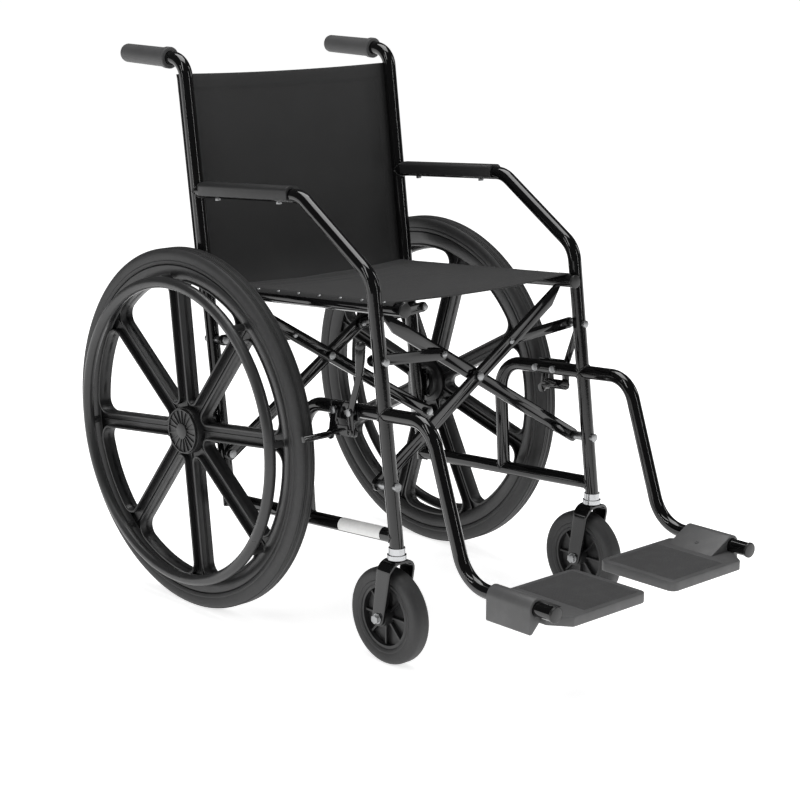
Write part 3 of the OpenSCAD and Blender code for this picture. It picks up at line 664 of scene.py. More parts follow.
class WHEELCHAIR_OT_fittings(bpy.types.Operator):
    """Makes the bars, bolts, plugs and hubs with softened edges"""

    bl_idname = "wheelchair.fittings"
    bl_label = "Bars, bolts and plugs"

    def execute(self, context):
        for node, source in sorted(frame["nodes"].items()):
            if kind_of(node) not in SOFTENED:
                continue
            finish, width = SOFTENED[kind_of(node)]
            ob = clone(source)
            ob.name = ob.data.name = f"{node}_finished"
            ob.parent = None
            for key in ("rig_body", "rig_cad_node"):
                if key in ob:
                    del ob[key]
            in_edit(ob, merge, lambda: bpy.ops.mesh.dissolve_limited(angle_limit=0.02))
            round_edges(ob, width)
            smooth(ob)
            settle(ob, finish, source["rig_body"], node)
        return {"FINISHED"}


class WHEELCHAIR_OT_rivets(bpy.types.Operator):
    """Sets a plated dome on each end of the rivets between links and arms"""

    bl_idname = "wheelchair.rivets"
    bl_label = "Link rivets"

    def execute(self, context):
        dome = lathe(
            [
                (-0.001, 0), (-0.001, 0.0048), (0.0004, 0.0050),
                (0.0016, 0.0043), (0.0025, 0.0028), (0.0029, 0),
            ],
            28,
        )
        for side, places in LINK_RIVETS.items():
            heads = []
            for s, way in places:
                head = clone(dome)
                moved(head, Matrix.Rotation(-way * math.pi / 2, 4, "Z"))
                moved(head, Matrix.Translation((SIDES[side] * LINK_END.x, -s, LINK_END.y)))
                heads.append(moved(head, TILT))
            row = joined(f"{side}_link_rivets", heads)
            smooth(row)
            settle(row, "zinc", f"{side}_link")
        bpy.data.objects.remove(dome)
        return {"FINISHED"}


def weld_bead(name, centre, branch, main, body):
    """A weld bead where a branch tube, leaving centre along branch, meets a main tube."""
    branch, main = branch.normalized(), main.normalized()
    side = branch.cross(main).normalized()
    up = side.cross(branch).normalized()
    bead = sizes().weld
    draw = random.Random(name)
    steps, around = 72, 8
    clear_selection()
    bpy.ops.mesh.primitive_torus_add(
        major_segments=steps, minor_segments=around, major_radius=1.0, minor_radius=0.1
    )
    ob = bpy.context.object
    rings = []
    for k in range(steps):
        turn = TAU * k / steps
        out = side * math.sin(turn) + up * math.cos(turn)
        across = TUBE_R * math.sin(turn)
        lift = math.sqrt(max(TUBE_R**2 - across**2, 0.0))
        rings.append((out, centre + branch * lift + out * TUBE_R))
    for k, (out, point) in enumerate(rings):
        ripple = bead * (1 + 0.22 * math.sin(TAU * k / steps * 15) + draw.uniform(-0.08, 0.08))
        for j in range(around):
            turn = TAU * j / around
            ob.data.vertices[k * around + j].co = (
                point + (out * math.cos(turn) + branch * math.sin(turn)) * ripple
            )
    in_edit(ob, face_out)
    smooth(ob, 60)
    ob.name = ob.data.name = name
    settle(ob, "frame_paint", body)


class WHEELCHAIR_OT_welds(bpy.types.Operator):
    """Lays weld beads round the joints of the side frames"""

    bl_idname = "wheelchair.welds"
    bl_label = "Weld beads"

    def execute(self, context):
        forward, up = Vector((0, -1, 0)), Vector((0, 0, 1))
        back = Vector((0, math.sin(BACK_RAKE), math.cos(BACK_RAKE)))
        front = Vector((0, math.sin(FRONT_RAKE), math.cos(FRONT_RAKE)))
        joints = [
            ("arm", back_s(ARM_H), ARM_H, forward, back),
            ("rail_rear", back_s(RAIL_H), RAIL_H, forward, back),
            ("rail_front", front_s(RAIL_H), RAIL_H, -forward, front),
            ("brake_front", front_s(BRAKE_H), BRAKE_H, -forward, front),
            ("brake_foot", 0.230, RAIL_H, up, forward),
        ]
        turn = TILT.to_3x3()
        for side, sign in SIDES.items():
            for name, s, h, branch, main in joints:
                weld_bead(
                    f"{side}_weld_{name}",
                    tilted(SIDE_X * sign, s, h),
                    turn @ branch,
                    turn @ main,
                    f"{side}_frame",
                )
            leg = tilted(SIDE_X * sign, front_s(BRAKE_H), BRAKE_H)
            knee = Vector((SIDE_X * sign, AXLE_Y - 0.516, AXLE_Z + 0.100))
            weld_bead(f"{side}_weld_leg", leg, knee - leg, turn @ front, f"{side}_frame")
        return {"FINISHED"}


# ---- Rear wheels ----


def window_loop(half, ring, outer, inner, spokes):
    """A window between two spokes, pointing along +X: half is half the spoke's width."""
    lean = math.pi / spokes
    low = (half + inner) / math.sin(lean)
    b = half + outer
    a = math.sqrt((ring - outer) ** 2 - b * b)
    corner = Vector((a * math.cos(lean) + b * math.sin(lean), a * math.sin(lean) - b * math.cos(lean)))
    turn = math.atan2(corner.y, corner.x)
    square = math.pi / 2 + lean
    upper = arc(corner, outer, turn, square, 8)
    lower = [(x, -y) for x, y in reversed(upper)]
    rim = arc((0, 0), ring, -turn, turn, 12)[1:-1]
    hub = arc((low, 0), inner, square, TAU - square, 8)
    return lower + rim + upper + hub


def turned(loop, angle):
    c, s = math.cos(angle), math.sin(angle)
    return [(x * c - y * s, x * s + y * c) for x, y in loop]


class WHEELCHAIR_OT_rear_wheels(bpy.types.Operator):
    """Makes the moulded wheels: a rim, spokes with raised edges and a hub"""

    bl_idname = "wheelchair.rear_wheels"
    bl_label = "Rear wheels"

    def execute(self, context):
        z = sizes()
        edge, half, count = z.spoke_edge, z.spoke_width / 2, z.spokes
        windows = [
            window_loop(half, RING_R, z.corner, 0.009, count),
            window_loop(half - edge, RING_R + edge, z.corner + edge, 0.009 + edge, count),
        ]
        disc = arc((0, 0), RIM_R - 0.004, 0, TAU, 160)[:-1]
        parts = [
            flat_piece(
                [disc] + [turned(windows[0], TAU * k / count) for k in range(count)], 0.006, 0.001
            )
        ]
        frame_ring = flat_piece(windows, z.spoke_depth, 0.0013)
        for k in range(count):
            parts.append(moved(clone(frame_ring), Matrix.Rotation(TAU * k / count, 4, "Z")))
        bpy.data.objects.remove(frame_ring)
        for part in parts:
            moved(part, Matrix.Rotation(math.pi / 2, 4, "Y"))
        w = TYRE_W / 2
        rim = [
            (-w + 0.003, RIM_R), (-w + 0.001, RIM_R - 0.002), (-w + 0.001, RIM_R - 0.012),
            (-w + 0.004, RIM_R - 0.018), (-w + 0.0055, RING_R + 0.004), (-w + 0.0075, RING_R + 0.002),
            (-0.0040, RING_R + 0.005), (0.0040, RING_R + 0.005),
            (w - 0.0075, RING_R + 0.002), (w - 0.0055, RING_R + 0.004), (w - 0.004, RIM_R - 0.018),
            (w - 0.001, RIM_R - 0.012), (w - 0.001, RIM_R - 0.002), (w - 0.003, RIM_R),
        ]
        hub = [
            (-0.022, 0.0145), (-0.022, 0.027), (-0.0205, 0.0285), (-0.014, 0.030), (-0.0115, 0.0365),
            (-0.010, 0.0385), (0.0155, 0.0395), (0.017, 0.0385), (0.017, 0.0145),
        ]
        parts += [lathe(rim, 176), lathe(hub, 72)]
        for k in range(count):
            parts.append(self.gusset(TAU * (k + 0.5) / count))
        wheel = joined("left_wheel_moulding", parts)
        smooth(wheel, 38)
        other = twin(wheel, "right_wheel_moulding")
        for piece, side in ((wheel, "left"), (other, "right")):
            first = math.radians(WHEEL_TURN[side]) - math.pi / count
            moved(piece, Matrix.Rotation(first - PITCH, 4, "X"))
            moved(piece, Matrix.Translation((WHEEL.x * SIDES[side], AXLE_Y, AXLE_Z)))
            settle(piece, "wheel_plastic", f"{side}_rear_wheel", f"{side}_wheel")
        return {"FINISHED"}

    def gusset(self, angle):
        """The thin middle rib that runs down a spoke on its inner face."""
        rib = flat_piece(
            [[(0.037, -0.0012), (RING_R + 0.002, -0.0009), (RING_R + 0.002, 0.0009), (0.037, 0.0012)]],
            0.012,
            0.0003,
            1,
        )
        moved(rib, Matrix.Rotation(angle, 4, "Z"))
        moved(rib, Matrix.Rotation(math.pi / 2, 4, "Y"))
        return moved(rib, Matrix.Translation((-0.001, 0, 0)))


def tyre_outline(outer, inner, width, shoulder, grooves, depth):
    """A tyre's section as (across, radius): round shoulders, grooves and a bead line."""
    w = width / 2
    right = arc((w - shoulder, outer - shoulder), shoulder, math.pi / 2, 0, 9)
    wall = [
        (w, inner + 0.009), (w - 0.0007, inner + 0.0078), (w - 0.0007, inner + 0.0066),
        (w, inner + 0.0054), (w - 0.0008, inner + 0.001), (w - 0.002, inner),
    ]
    tread = []
    for g in sorted(grooves, reverse=True):
        floor = outer - depth
        tread += [(g + 0.0011, outer), (g + 0.0005, floor), (g - 0.0005, floor), (g - 0.0011, outer)]
    half = right + wall
    left = [(-a, r) for a, r in reversed(half)]
    return half + left + [(a, r) for a, r in reversed(tread)]


TREAD_GROOVES = [-0.0095, -0.0035, 0.0035, 0.0095]
GROOVE_DEPTH = 0.0011


class WHEELCHAIR_OT_tyres(bpy.types.Operator):
    """Makes the solid tyres of the rear wheels and the casters"""

    bl_idname = "wheelchair.tyres"
    bl_label = "Tyres"

    def execute(self, context):
        rear = lathe(tyre_outline(TYRE_R, RIM_R, TYRE_W, 0.0105, TREAD_GROOVES, GROOVE_DEPTH), 192)
        moved(rear, Matrix.Translation((WHEEL.x, AXLE_Y, AXLE_Z)))
        smooth(rear, 40)
        both_sides(rear, "tyre_rubber", "tyre", "rear_wheel", "tyre")
        caster = lathe(tyre_outline(CASTER_R, CASTER_RIM, CASTER_W, 0.0095, [], 0), 112)
        moved(caster, Matrix.Translation(CASTER))
        smooth(caster, 40)
        both_sides(caster, "caster_rubber", "tyre", "caster_wheel", "caster_tyre")
        return {"FINISHED"}


# ---- Casters ----


class WHEELCHAIR_OT_caster_forks(bpy.types.Operator):
    """Bends the caster forks from flat bar, with their stems and crown nuts"""

    bl_idname = "wheelchair.caster_forks"
    bl_label = "Caster forks"

    def execute(self, context):
        head = middle("left_headset")
        crown = 0.1719
        leg_x = 0.0243
        bend = 0.017
        foot_y, foot_z = CASTER.y, CASTER_R
        side = [(leg_x, foot_z - 0.012 + 0.004 * k) for k in range(3)]
        side += [(leg_x, z) for z in (foot_z + 0.004, foot_z + 0.02, foot_z + 0.04, crown - bend - 0.012)]
        side += arc((leg_x - bend, crown - 0.0024 - bend), bend, 0, math.pi / 2, 9)
        path = side + [(-x, z) for x, z in reversed(side)]
        clear_selection()
        bpy.ops.mesh.primitive_grid_add(x_subdivisions=len(path) - 1, y_subdivisions=6, size=1)
        ob = bpy.context.object
        columns, rows = len(path), 7
        top = crown - 0.0024
        for j in range(rows):
            for i, (x, z) in enumerate(path):
                share = min(1.0, max(0.0, (z - foot_z) / (top - foot_z)))
                centre_y = foot_y + (head.y - foot_y) * share**0.9
                wide = 0.0125 + 0.003 * share
                below = foot_z - z
                if below > 0:
                    wide = math.sqrt(max(0.0125**2 - below**2, 0.000004))
                ob.data.vertices[j * columns + i].co = (x, centre_y + wide * (j / 3 - 1), z)
        in_edit(ob, face_out)
        modify(ob, "SOLIDIFY", thickness=0.0044, offset=0.0)
        round_edges(ob, 0.0011, 3, 40)
        stem = lathe(
            [
                (0, 0), (0, 0.0135), (0.0018, 0.0135), (0.0022, 0.011),
                (0.0105, 0.006), (0.020, 0.0059), (0.020, 0),
            ],
            32,
        )
        moved(stem, Matrix.Rotation(-math.pi / 2, 4, "Y"))
        moved(stem, Matrix.Translation((0, head.y, crown - 0.003)))
        fork = joined("fork", [ob, stem])
        moved(fork, Matrix.Translation((SIDE_X, 0, 0)))
        smooth(fork)
        both_sides(fork, "caster_fork_bar", "frame_paint", "caster_swivel", "caster_fork")
        return {"FINISHED"}


# ---- Grips and pads ----


class WHEELCHAIR_OT_grips(bpy.types.Operator):
    """Makes the push grips and the brake lever grips"""

    bl_idname = "wheelchair.grips"
    bl_label = "Grips"

    def execute(self, context):
        rise = HANDLE_SLOPE - PITCH
        rear_s = back_s(HANDLE_H) - HANDLE_LEN * math.cos(HANDLE_SLOPE)
        rear_h = HANDLE_H + HANDLE_LEN * math.sin(HANDLE_SLOPE)
        end = tilted(SIDE_X, rear_s, rear_h)
        outer, bore = TUBE_R + 0.0042, TUBE_R + 0.00005
        outline = [
            (0.004, 0), (0.0040, 0.009), (0.0034, 0.0125), (0.0015, outer - 0.0010), (-0.0015, outer - 0.0001),
            (-0.020, outer), (-0.103, outer + 0.0004), (-0.107, outer + 0.0006), (-0.1085, outer + 0.0022),
            (-0.1165, outer + 0.0023), (-0.1178, outer + 0.0010), (-0.1180, bore + 0.0006), (-0.1172, bore),
            (0.0, bore), (0.0, 0),
        ]
        grip = lathe(outline, 64)
        turn = Matrix.Rotation(math.pi / 2, 4, "Z")
        lift = Matrix.Rotation(rise, 4, "X")
        moved(grip, Matrix.Translation(end) @ lift @ turn)
        smooth(grip, 40)
        both_sides(grip, "push_grip_sleeve", "grip_rubber", "frame", "push_grip")

        pivot_s, pivot_h = 0.36508, BRAKE_H
        low_point = tilted(0, pivot_s + 0.027, pivot_h + 0.062)
        top_point = tilted(0, pivot_s + 0.033, pivot_h + 0.106)
        along = top_point - low_point
        height = along.length
        bullet = [
            (-0.002, 0), (-0.002, 0.0052), (0, 0.0060), (0.003, 0.0064), (height * 0.55, 0.0074),
            (height - 0.006, 0.0075), (height - 0.0052, 0.0070), (height - 0.0044, 0.0075),
        ] + [
            (height + 0.0075 * math.sin(t * math.pi / 16), 0.0075 * math.cos(t * math.pi / 16))
            for t in range(9)
        ]
        bullet[-1] = (height + 0.0075, 0)
        knob = lathe(bullet, 40)
        lever = middle("left_brake_grip")
        place = Matrix.Translation((lever.x, low_point.y, low_point.z))
        moved(knob, place @ along.to_track_quat("X", "Z").to_matrix().to_4x4())
        smooth(knob, 40)
        both_sides(knob, "brake_grip_knob", "brake_grip_plastic", "lever", "brake_grip")
        return {"FINISHED"}


class WHEELCHAIR_OT_armrests(bpy.types.Operator):
    """Makes the moulded armrest shells that clip over the tubes"""

    bl_idname = "wheelchair.armrests"
    bl_label = "Armrest pads"

    def execute(self, context):
        half, top, skirt = TUBE_R + 0.0026, TUBE_R + 0.0042, -0.0062
        radius, wall = 0.0080, TUBE_R + 0.0001
        dip = math.asin(-skirt / wall) * 0.98
        outline = (
            [(half - 0.0006, skirt), (half, skirt + 0.0006)]
            + arc((half - radius, top - radius), radius, 0, math.pi / 2, 7)
            + arc((-half + radius, top - radius), radius, math.pi / 2, math.pi, 7)
            + [(-half, skirt + 0.0006), (-half + 0.0006, skirt)]
            + arc((0, 0), wall, math.pi + dip, -dip, 22)
        )
        start, end = 0.0085, 0.2325
        pad = flat_piece([outline], end - start, 0.0012, 3)
        for vertex in pad.data.vertices:
            if vertex.co.y > top - 0.004:
                share = abs(vertex.co.z) / ((end - start) / 2)
                vertex.co.y -= 0.0007 * share**6
        moved(pad, Matrix.Rotation(math.pi / 2, 4, "X"))
        moved(pad, Matrix.Translation((SIDE_X, -(start + end) / 2, ARM_H)))
        moved(pad, TILT)
        smooth(pad)
        both_sides(pad, "armrest_shell", "pad_plastic", "frame", "armrest_pad")
        return {"FINISHED"}


# ---- Footplates ----


class WHEELCHAIR_OT_footplates(bpy.types.Operator):
    """Makes the ribbed footplates with their hinge blocks"""

    bl_idname = "wheelchair.footplates"
    bl_label = "Footplates"

    def execute(self, context):
        low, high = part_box("left_footplate")
        top = FOOT_Z - 0.008
        thick = 0.016
        rear, front = high.y, low.y
        inner, outer = low.x, SIDE_X - TUBE_R + 0.004
        nip = 0.016
        corners = [
            (inner, front), (outer - nip * 1.5, front), (outer, front + 2 * nip),
            (outer, rear - nip), (outer - nip, rear), (inner, rear),
        ]
        radii = [0.012, 0.004, 0.004, 0.004, 0.004, 0.012]
        plate = flat_piece([self.rounded(corners, radii)], thick, 0.0016, 3)
        moved(plate, Matrix.Translation((0, 0, top - thick / 2)))
        wedge = 0.052
        block_r = TUBE_R + 0.005
        bore = TUBE_R + 0.00005
        hinge_front = AXLE_Y - (0.773 - 0.032)
        hinge_rear = hinge_front + 0.088
        x0 = SIDE_X
        shell = (
            [(x0 - wedge, top - 0.003), (x0 - wedge + 0.002, top + 0.0005)]
            + arc((x0, FOOT_Z), block_r, math.pi * 0.70, 0, 14)
            + [
                (x0 + block_r, top - thick - 0.011),
                (x0 + block_r - 0.0015, top - thick - 0.0130),
                (x0 + block_r - 0.006, top - thick - 0.0125),
                (x0 - wedge * 0.2, top - 0.0078),
                (x0 - wedge, top - 0.0078),
            ]
        )
        hole = arc((x0, FOOT_Z), bore, 0, TAU, 40)[:-1]
        block = flat_piece([shell, hole], hinge_rear - hinge_front, 0.0016, 3)
        moved(block, Matrix.Rotation(math.pi / 2, 4, "X"))
        moved(block, Matrix.Translation((0, (hinge_rear + hinge_front) / 2, 0)))
        parts = [plate, block]
        rib_width = 0.0017
        count = int((x0 - wedge - 0.010 - (inner + 0.012)) / sizes().rib_pitch)
        rib = flat_piece(
            [[(-rib_width / 2, front + 0.009), (rib_width / 2, front + 0.009),
              (rib_width / 2, rear - 0.009), (-rib_width / 2, rear - 0.009)]],
            0.0012, 0.0004, 1,
        )
        for k in range(count + 1):
            x = inner + 0.012 + k * sizes().rib_pitch
            parts.append(moved(clone(rib), Matrix.Translation((x, 0, top + 0.0002))))
        bpy.data.objects.remove(rib)
        screw_face = Vector((x0 - wedge * 0.62, (hinge_rear + hinge_front) / 2, top + 0.0092))
        screw = lathe(
            [
                (0, 0), (0, 0.0036), (0.0008, 0.0036), (0.0014, 0.0028),
                (0.0014, 0.0016), (0.0006, 0.0012), (0.0006, 0),
            ],
            20,
        )
        slope = Vector((-0.46, 0, 0.89))
        moved(screw, Matrix.Translation(screw_face) @ slope.to_track_quat("X", "Y").to_matrix().to_4x4())
        parts.append(screw)
        foot = joined("foot", parts)
        smooth(foot, 32)
        both_sides(foot, "footplate_moulding", "grey_plastic", "foot", "footplate")
        return {"FINISHED"}

    def rounded(self, corners, radii):
        """The outline through the corners, each turned into a small arc."""
        loop = []
        for k, (corner, radius) in enumerate(zip(corners, radii)):
            here = Vector(corner)
            back = (Vector(corners[k - 1]) - here).normalized()
            on = (Vector(corners[(k + 1) % len(corners)]) - here).normalized()
            half = back.angle(on) / 2
            reach = radius / math.tan(half)
            centre = here + (back + on).normalized() * (radius / math.sin(half))
            first, last = here + back * reach, here + on * reach
            a0 = math.atan2(first.y - centre.y, first.x - centre.x)
            a1 = math.atan2(last.y - centre.y, last.x - centre.x)
            while a1 - a0 > math.pi:
                a1 -= TAU
            while a1 - a0 < -math.pi:
                a1 += TAU
            loop += arc(centre, radius, a0, a1, 5)
        return loop


# ---- Slings ----


def cloth_grid(name, across, along, place):
    """A cloth of across by along cells; place gives a point and its flat position in metres."""
    clear_selection()
    bpy.ops.mesh.primitive_grid_add(x_subdivisions=across, y_subdivisions=along, size=1)
    ob = bpy.context.object
    ob.name = ob.data.name = name
    flat = {}
    for j in range(along + 1):
        for i in range(across + 1):
            index = j * (across + 1) + i
            point, laid = place(i / across, j / along)
            ob.data.vertices[index].co = point
            flat[index] = laid
    for layer in list(ob.data.uv_layers):
        ob.data.uv_layers.remove(layer)
    layer = ob.data.uv_layers.new(name="cloth")
    for loop in ob.data.loops:
        layer.data[loop.index].uv = flat[loop.vertex_index]
    return ob


SEAT_FRONT_S, SEAT_REAR_S = 0.424, 0.022
CLOTH_T = 0.0022


class WHEELCHAIR_OT_seat(bpy.types.Operator):
    """Stretches the seat sling over its rails, with its hems and screws"""

    bl_idname = "wheelchair.seat"
    bl_label = "Seat sling"

    def execute(self, context):
        radius = RAIL_R + CLOTH_T / 2 + 0.0004
        wrap = math.radians(58)
        section = []
        for k in range(11):
            turn = wrap * (1 - k / 10)
            section.append((RAIL.x + radius * math.sin(turn), RAIL.y + radius * math.cos(turn)))
        edge = section[-1]
        flat_half = edge[0]
        steps = 60
        for k in range(1, steps):
            x = flat_half * (1 - 2 * k / steps)
            section.append((x, edge[1]))
        section += [(-x, h) for x, h in reversed(section[:11])]
        reach = [0.0]
        for p, q in zip(section, section[1:]):
            reach.append(reach[-1] + math.dist(p, q))
        long = SEAT_FRONT_S - SEAT_REAR_S
        sag = sizes().seat_sag
        hem = sizes().hem
        draw = random.Random(7)
        folds = [
            (
                draw.uniform(-0.17, 0.17),
                draw.uniform(0.0, 1.0),
                draw.uniform(0.012, 0.03),
                draw.uniform(0.0005, 0.0016),
            )
            for _ in range(16)
        ]

        def place(u, v):
            k = u * (len(section) - 1)
            i = min(int(k), len(section) - 2)
            x = section[i][0] + (section[i + 1][0] - section[i][0]) * (k - i)
            h = section[i][1] + (section[i + 1][1] - section[i][1]) * (k - i)
            run = reach[i] + (reach[i + 1] - reach[i]) * (k - i)
            s = SEAT_REAR_S + long * v
            if abs(x) < flat_half:
                inside = 1 - (x / flat_half) ** 2
                h -= sag * inside * (0.75 + 0.5 * math.sin(math.pi * v))
                pull = math.exp(-(v / 0.16) ** 2) + 0.5 * math.exp(-((1 - v) / 0.08) ** 2)
                for cx, cv, wide, high in folds:
                    along_fold = math.exp(-(((x - cx) / 0.07) ** 2))
                    h += high * pull * inside * along_fold * math.cos((v - cv * 0.15) * long / wide * TAU / 2)
                h -= 0.0012 * inside * math.exp(-((s - SEAT_REAR_S) / 0.006) ** 2)
            edge_v = min(v, 1 - v) * long
            thickened = 0.0005 if edge_v < hem else 0.0
            return tilted(x, s, h + thickened), (run, s)

        cloth = cloth_grid("seat_sling_cloth", 130, 120, place)
        in_edit(cloth, face_out)
        modify(cloth, "SOLIDIFY", thickness=CLOTH_T, offset=0.0, use_even_offset=True)
        round_edges(cloth, 0.0007, 2, 50)
        smooth(cloth, 60)
        cloth.data.materials.clear()
        cloth.data.materials.append(FINISHES["fabric"])
        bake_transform(cloth)
        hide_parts("seat_sling")
        self.screws()
        return {"FINISHED"}

    def screws(self):
        radius = RAIL_R + CLOTH_T + 0.0006
        turn, sunk = math.radians(34), 0.0004
        heads = []
        for k in range(8):
            s = SEAT_REAR_S + 0.028 + k * (SEAT_FRONT_S - SEAT_REAR_S - 0.05) / 7
            head = lathe(
                [
                    (0, 0), (0, 0.0027), (0.0004, 0.0028), (0.0011, 0.0022),
                    (0.0014, 0.0012), (0.0010, 0.0007), (0.0010, 0),
                ],
                20,
            )
            way = Vector((math.sin(turn), 0, math.cos(turn)))
            moved(head, way.to_track_quat("X", "Y").to_matrix().to_4x4())
            x = RAIL.x + radius * math.sin(turn) - sunk
            h = RAIL.y + radius * math.cos(turn) - sunk
            moved(head, Matrix.Translation((x, -s, h)))
            moved(head, TILT)
            heads.append(head)
        row = joined("left_sling_screws", heads)
        smooth(row)
        other = twin(row, "right_sling_screws")
        settle(row, "zinc", "brace_a")
        settle(other, "zinc", "brace_b")


BACK_LOW, BACK_TOP = 0.212, 0.574
HANDLE_BEND, BEND_H = 0.033, 0.564


class WHEELCHAIR_OT_back(bpy.types.Operator):
    """Hangs the back sling behind its posts, with its hems"""

    bl_idname = "wheelchair.back"
    bl_label = "Back sling"

    def execute(self, context):
        half = SIDE_X + TUBE_R - 0.002
        offset = TUBE_R + 0.0003 + CLOTH_T / 2
        tall = (BACK_TOP - BACK_LOW) / math.cos(BACK_RAKE)
        bow = sizes().back_bow
        hem = 0.026
        inner = SIDE_X - TUBE_R

        def place(u, v):
            x = half * (1 - 2 * u)
            h = BACK_LOW + (BACK_TOP - BACK_LOW) * v
            reach = max(0.0, 1 - (x / inner) ** 2)
            back = offset
            back += bow * reach * (0.7 + 0.3 * math.sin(math.pi * v))
            back += HANDLE_BEND - math.sqrt(HANDLE_BEND**2 - max(0.0, h - BEND_H) ** 2)
            wave = math.exp(-((v - 0.03) / 0.10) ** 2) * 0.0016 * math.sin(x * 46 + 1.2) * reach
            wave += 0.0009 * reach * math.sin(x * 21 + v * 9.0) * (1 - v)
            edge = (1 - v) * tall
            band = 0.0007 if edge < hem or inner - abs(x) < 0.012 else 0.0
            crease = 0.0006 * math.exp(-((edge - hem) / 0.0016) ** 2)
            crease += 0.0006 * math.exp(-((inner - abs(x) - 0.012) / 0.0016) ** 2)
            top_dip = -0.0035 * reach if v > 0.999 else -0.0035 * reach * v**8
            return tilted(x, back_s(h) - back - wave + band - crease, h + top_dip), (x, v * tall)

        cloth = cloth_grid("back_sling_cloth", 150, 120, place)
        in_edit(cloth, face_out)
        modify(cloth, "SOLIDIFY", thickness=CLOTH_T, offset=0.0, use_even_offset=True)
        round_edges(cloth, 0.0007, 2, 50)
        smooth(cloth, 60)
        settle(cloth, "fabric", "right_frame", "back_sling")
        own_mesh(cloth)
        return {"FINISHED"}


class WHEELCHAIR_OT_label(bpy.types.Operator):
    """Sticks a blank label round the right lower rail"""

    bl_idname = "wheelchair.label"
    bl_label = "Label"

    def execute(self, context):
        start, end = 0.312, 0.4085
        radius = TUBE_R + 0.00012
        clear_selection()
        bpy.ops.mesh.primitive_grid_add(x_subdivisions=28, y_subdivisions=14, size=1)
        ob = bpy.context.object
        for vertex in ob.data.vertices:
            u, v = vertex.co.x + 0.5, vertex.co.y + 0.5
            turn = math.radians(-35 + 165 * u)
            vertex.co = (
                -SIDE_X - radius * math.cos(turn),
                -(start + (end - start) * v),
                RAIL_H + radius * math.sin(turn),
            )
        in_edit(ob, face_out)
        modify(ob, "SOLIDIFY", thickness=0.00018, offset=0.0)
        moved(ob, TILT)
        smooth(ob, 60)
        ob.name = ob.data.name = "right_label"
        settle(ob, "label", "right_frame", slot="plug_plastic")
        return {"FINISHED"}


# ---- Stage ----


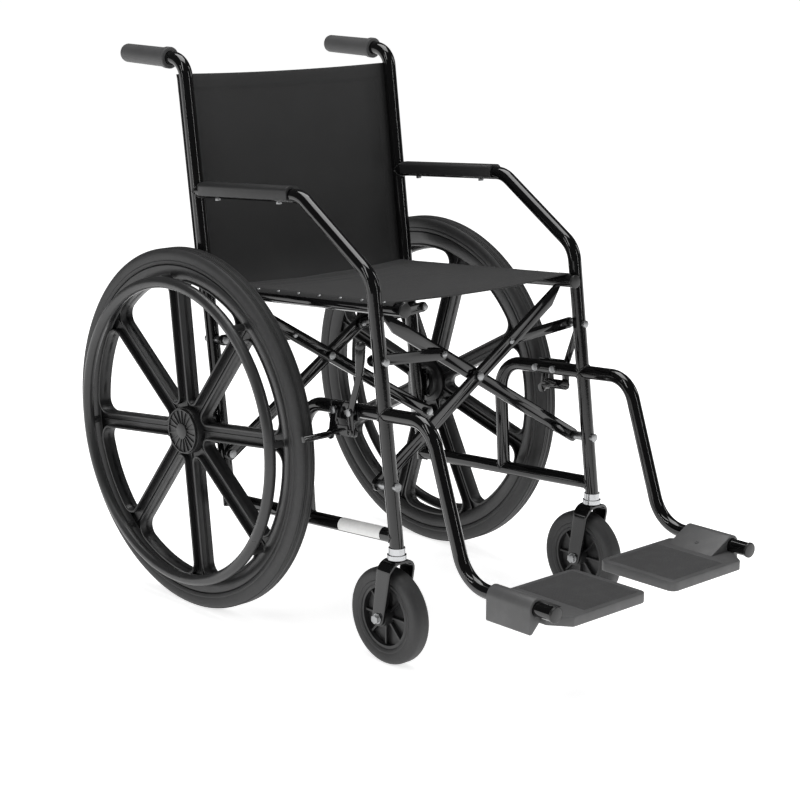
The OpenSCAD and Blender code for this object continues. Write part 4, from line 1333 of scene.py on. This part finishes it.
class WHEELCHAIR_OT_stage(bpy.types.Operator):
    """Lays the floor and sets the lights and the camera"""

    bl_idname = "wheelchair.stage"
    bl_label = "Stage"

    def execute(self, context):
        scene = context.scene
        clear_selection()
        bpy.ops.mesh.primitive_plane_add(size=60)
        floor = context.object
        floor.name = "floor"
        paper = Finish("floor_paper")
        grain = paper.noise(paper.place(), 3.0, 2.0)
        floor.data.materials.append(
            paper.done(
                Base_Color=paper.shade(grain, (0.90, 0.90, 0.90), (0.92, 0.92, 0.92)),
                Roughness=0.9,
                Specular_IOR_Level=0.0,
                Emission_Color=(1, 1, 1, 1),
                Emission_Strength=0.70,
            )
        )

        camera = bpy.data.objects.new("camera", bpy.data.cameras.new("camera"))
        scene.collection.objects.link(camera)
        turn = Matrix(
            (
                (0.71660, 0.17093, -0.67621),
                (-0.69740, 0.19013, -0.69100),
                (0.01046, 0.96676, 0.25545),
            )
        ).to_4x4()
        camera.matrix_world = Matrix.Translation((-2.182, -2.331, 1.119)) @ turn
        camera.data.sensor_width = 36.0
        camera.data.lens = 1988.64 * 36.0 / 800
        camera.data.shift_x = -55.35 / 800
        camera.data.shift_y = 48.93 / 800
        camera.data.clip_end = 100
        scene.camera = camera

        for name, place, size, power in (
            ("key", (-2.6, -0.6, 3.2), (0.5, 2.4), 18),
            ("front_strip", (0.9, -4.2, 1.9), (0.14, 2.8), 16),
            ("left_strip", (-4.2, 0.9, 1.6), (0.14, 2.6), 12),
            ("top", (0.3, 0.5, 4.4), (3.0, 3.0), 120),
            ("right_fill", (3.6, -1.4, 2.4), (0.3, 2.4), 12),
        ):
            light = bpy.data.objects.new(name, bpy.data.lights.new(name, "AREA"))
            light.data.shape = "RECTANGLE"
            light.data.size, light.data.size_y = size
            light.data.energy = power
            light.location = place
            aim = Vector((0, 0, 0.4)) - Vector(place)
            light.rotation_euler = aim.to_track_quat("-Z", "Y").to_euler()
            scene.collection.objects.link(light)

        world = bpy.data.worlds.new("studio")
        world.use_nodes = True
        scene.world = world
        nodes, links = world.node_tree.nodes, world.node_tree.links
        nodes.clear()
        output = nodes.new("ShaderNodeOutputWorld")
        path = nodes.new("ShaderNodeLightPath")
        last = None
        for strength, ray in ((0.34, None), (0.06, "Is Glossy Ray"), (1.0, "Is Camera Ray")):
            sky = nodes.new("ShaderNodeBackground")
            sky.inputs["Color"].default_value = (1, 1, 1, 1)
            sky.inputs["Strength"].default_value = strength
            if last is None:
                last = sky
                continue
            mix = nodes.new("ShaderNodeMixShader")
            links.new(path.outputs[ray], mix.inputs[0])
            links.new(last.outputs[0], mix.inputs[1])
            links.new(sky.outputs[0], mix.inputs[2])
            last = mix
        links.new(last.outputs[0], output.inputs[0])
        scene.view_settings.view_transform = "Standard"
        return {"FINISHED"}


class WHEELCHAIR_PT_panel(bpy.types.Panel):
    """Lists the wheelchair's pieces and their sizes"""

    bl_idname = "WHEELCHAIR_PT_panel"
    bl_label = "Manual folding wheelchair"
    bl_space_type = "VIEW_3D"
    bl_region_type = "UI"
    bl_category = "Wheelchair"

    def draw(self, context):
        layout = self.layout
        for group in (context.scene.wheelchair_sizes, context.scene.wheelchair_colours):
            box = layout.box()
            for name in group.__annotations__:
                box.prop(group, name)
        for step in STEPS:
            layout.operator(step.bl_idname)


STEPS = (
    WHEELCHAIR_OT_stage,
    WHEELCHAIR_OT_frame,
    WHEELCHAIR_OT_fittings,
    WHEELCHAIR_OT_rivets,
    WHEELCHAIR_OT_welds,
    WHEELCHAIR_OT_rear_wheels,
    WHEELCHAIR_OT_tyres,
    WHEELCHAIR_OT_caster_forks,
    WHEELCHAIR_OT_grips,
    WHEELCHAIR_OT_armrests,
    WHEELCHAIR_OT_footplates,
    WHEELCHAIR_OT_seat,
    WHEELCHAIR_OT_back,
    WHEELCHAIR_OT_label,
)
CLASSES = (WheelchairSizes, WheelchairColours, *STEPS, WHEELCHAIR_PT_panel)


def register():
    for made in CLASSES:
        bpy.utils.register_class(made)
    bpy.types.Scene.wheelchair_sizes = PointerProperty(type=WheelchairSizes)
    bpy.types.Scene.wheelchair_colours = PointerProperty(type=WheelchairColours)


def unregister():
    del bpy.types.Scene.wheelchair_colours
    del bpy.types.Scene.wheelchair_sizes
    for made in reversed(CLASSES):
        bpy.utils.unregister_class(made)


def main():
    register()
    make_finishes()
    for step in STEPS:
        group, name = step.bl_idname.split(".")
        getattr(getattr(bpy.ops, group), name)()
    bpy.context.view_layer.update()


if __name__ == "__main__":
    main()
